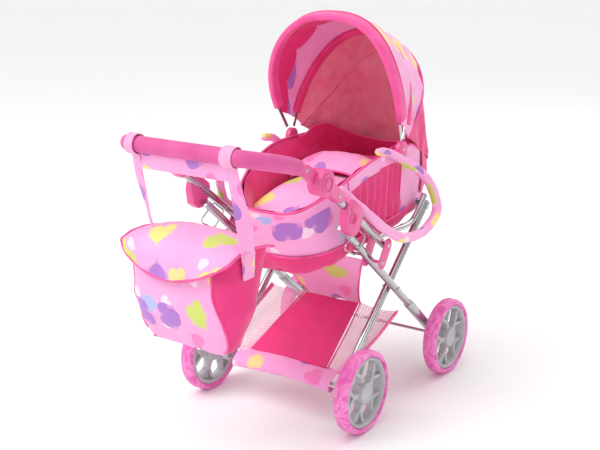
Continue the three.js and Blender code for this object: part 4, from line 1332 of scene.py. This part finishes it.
def flap_point(u, v):
    """Place on the flap: u from left to right, v from its back edge over the top and down the front."""
    bends = ((BAG_DEPTH - 4, 3), (84, 10), (50, 14), (18, 13), (-7, 5), (-13, -20), (-13, -60), (-13, -110))
    side = [(BAG_FRONT + y, BAG_TOP + z) for y, z in bends]
    lowest = u + 0.12 * (1 - u * u)
    hang = 6 + 60 * max(0, 1 - abs(lowest) ** 2.1) ** 0.75
    reach = v * (112 + hang)
    for a, b in zip(side, side[1:]):
        step = math.dist(a, b)
        if reach <= step:
            break
        reach -= step
    y, z = mix(a[0], b[0], reach / step), mix(a[1], b[1], reach / step)
    middle_share = 1 - u * u
    z += 9 * math.sin(math.pi * min(1, v * 1.5)) * middle_share if v < 0.66 else 0
    z -= 9 * abs(u) ** 6
    y -= max(0, v - 0.5) * 8 * middle_share
    return at(BAG_X + (BAG_HALF + 1.5) * u, y, z)


def build_flap():
    rows = [[flap_point(u, v) for u in right_to_left(56)] for v in shares(40)]
    for _ in range(3):
        threes = zip(rows, rows[1:], rows[2:])
        softened = [[(a + b * 2 + c) / 4 for a, b, c in zip(*three)] for three in threes]
        rows = [rows[0]] + softened + [rows[-1]]
    flap = cloth(rows, PRINT, DEEP_CLOTH, 1.8, edge=BINDING, creases=(3.2, 58, (1, 1, 1), 6.6))
    finish(flap, "bag_lid_panel", "bag_lid", ("bag_flap",))
    right = [row[0] for row in rows]
    left = [row[-1] for row in rows]
    edge = right[2:] + rows[-1][2:-2] + left[:1:-1]
    piping("bag_lid_piping", even(edge, 170), 2.6, "bag_lid", 12)


def strip(name, rows, body, material=PRINT, thickness=1.6, seed=0.0, nodes=()):
    """A flat strap through pairs of edge points."""
    first = spline([a for a, b in rows], 31)
    second = spline([b for a, b in rows], 31)
    lines = [[a.lerp(b, t) for a, b in zip(first, second)] for t in shares(8)]
    piece = cloth(lines, material, material, thickness, creases=(1.0, 30, (1, 1, 1), seed))
    return finish(piece, name, body, nodes)


def strap_loop(name, centre, along, half, radius):
    """A strap end wrapped round the grip."""
    along = along.normalized()
    up = (Vector((0, 0, 1)) - along * along.z).normalized()
    side = along.cross(up)
    rows = []
    for k in range(41):
        angle = 2 * math.pi * k / 40
        reach = radius + 0.9 * (angle > 5.6)
        around = up * math.cos(angle) + side * math.sin(angle)
        middle_point = centre + around * (reach / 1000)
        rows.append([middle_point + along * (mix(-half, half, j) / 1000) for j in shares(8)])
    piece = cloth(rows, VELCRO, VELCRO, 1.4)
    outward(piece)
    return finish(piece, name, "bag")


def pairs(*ends):
    """Edge points of a strap, each given by its height and the two places across it."""
    return [(at(ax, ay, z), at(bx, by, z)) for z, ax, ay, bx, by in ends]


def build_straps():
    line = grip_line(201)
    right_loop, left_loop = at(92, *GRIP), line[148]
    left_along = line[150] - line[146]
    strap_loop("strap_loop_right", right_loop, Vector((1, 0, 0)), 11.5, GRIP_RADIUS + 1.8)
    strap_loop("strap_loop_left", left_loop, left_along, 9, GRIP_RADIUS + 2)
    under = GRIP[1] - GRIP_RADIUS - 0.6
    drop = 25
    top = [at(87, GRIP[0], under), at(30, GRIP[0], under), at(-40, GRIP[0], under), at(-80, GRIP[0], under),
           left_loop + Vector((-0.004, 0.001, -(GRIP_RADIUS + 1.6) / 1000))]
    fold = Vector((0, 0, drop / 1000))
    strip("strap_across", [(p, p - fold) for p in top], "bag", seed=1.1, nodes=("bag_strap",))
    right = pairs((under - 0.6, 81, -424, 103, -424), (482, 91, -425, 111, -417), (440, 99, -425, 119, -408),
                  (400, 102, -418, 110, -392), (342, 102.5, -410, 102.5, -383))
    strip("strap_right", right, "bag", seed=2.3)
    x, y = left_loop.x * 1000, chassis_y(left_loop)
    left = pairs((left_loop.z * 1000 - GRIP_RADIUS - 3.6, x - 11, y + 3, x + 11, y - 3),
                 (478, -121, -409, -102, -413), (436, -113, -401, -103, -404), (398, -107, -395, -101, -397))
    strip("strap_left", left, "bag", seed=3.7)
    tab = pairs((388, 104.2, -412, 107, -386), (356, 104.6, -410, 104.6, -384))
    strip("strap_velcro_tab", tab, "bag", VELCRO, 1.0, 4.1)


# ---- Whole stroller ----------------------------------------------------------------------------
def dress_bows():
    for node in ("hood_front_bow", "hood_mid_bow"):
        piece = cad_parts[node]
        piece.data.materials.clear()
        piece.data.materials.append(STEEL)


def build_studio():
    clear_selection()
    bpy.ops.mesh.primitive_plane_add(size=80, location=(0, 0, 0))
    ground = bpy.context.object
    ground.name = "studio_floor"
    f = Finish("pale floor", 0.75)
    place = f.node("TexCoord").outputs["Object"]
    cloud = f.noise(place, 2.0)
    f.link(f.blend(cloud, (0.95, 0.95, 0.955, 1), (0.97, 0.97, 0.97, 1)), "Base Color")
    ground.data.materials.append(f.material)
    lamps = (("key", (-1.6, -2.2, 2.6), 1.6, 40), ("fill", (2.8, -1.4, 1.6), 2.2, 12),
             ("back", (0.6, 2.4, 2.2), 2.2, 20))
    for name, place, size, power in lamps:
        lamp = bpy.data.lights.new(name, "AREA")
        lamp.size = size
        lamp.energy = power
        holder = bpy.data.objects.new(name + "_light", lamp)
        holder.location = place
        holder.rotation_mode = "QUATERNION"
        holder.rotation_quaternion = (Vector((0, 0, 0.4)) - Vector(place)).to_track_quat("-Z", "Y")
        bpy.context.scene.collection.objects.link(holder)
    for i, (x, y) in enumerate(((2.6, -2.2), (-2.2, -1.2), (0.9, -3.2), (-1.2, 2.8))):
        clear_selection()
        upright = (math.pi / 2, 0, math.atan2(-x, y))
        bpy.ops.mesh.primitive_plane_add(size=1, location=(x, y, 1.1), rotation=upright)
        card = bpy.context.object
        card.scale = (0.45, 2.2, 1)
        card.name = f"dark_card_{i}"
        card.visible_camera = False
        card.visible_shadow = False
        card.visible_diffuse = False
        card.data.materials.append(CARD)
    sun = bpy.data.lights.new("overhead", "SUN")
    sun.energy = 1.15
    sun.angle = math.radians(50)
    holder = bpy.data.objects.new("overhead_light", sun)
    holder.rotation_euler = (math.radians(18), math.radians(-14), 0)
    bpy.context.scene.collection.objects.link(holder)
    world = bpy.data.worlds.new("studio")
    world.use_nodes = True
    world.node_tree.nodes["Background"].inputs[0].default_value = (1, 1, 1, 1)
    world.node_tree.nodes["Background"].inputs[1].default_value = 0.62
    bpy.context.scene.world = world
    bpy.context.scene.view_settings.view_transform = "Standard"


def build_camera():
    lens = bpy.data.cameras.new("camera")
    lens.lens = 64.3
    lens.sensor_width = 36
    lens.clip_end = 50
    camera = bpy.data.objects.new("camera", lens)
    place, target = at(1101.75, -1695.65, 888.5), at(55.2, -184.5, 375.7)
    camera.location = place
    camera.rotation_mode = "QUATERNION"
    roll = Quaternion((0, 0, 1), math.radians(-0.23))
    camera.rotation_quaternion = (target - place).to_track_quat("-Z", "Y") @ roll
    bpy.context.scene.collection.objects.link(camera)
    bpy.context.scene.camera = camera


build_camera()
build_studio()
build_wheels()
build_legs()
build_seat_frame()
build_handle()
build_cot()
build_bedding()
build_carry_handles()
dress_bows()
build_hood()
build_basket()
build_bag()
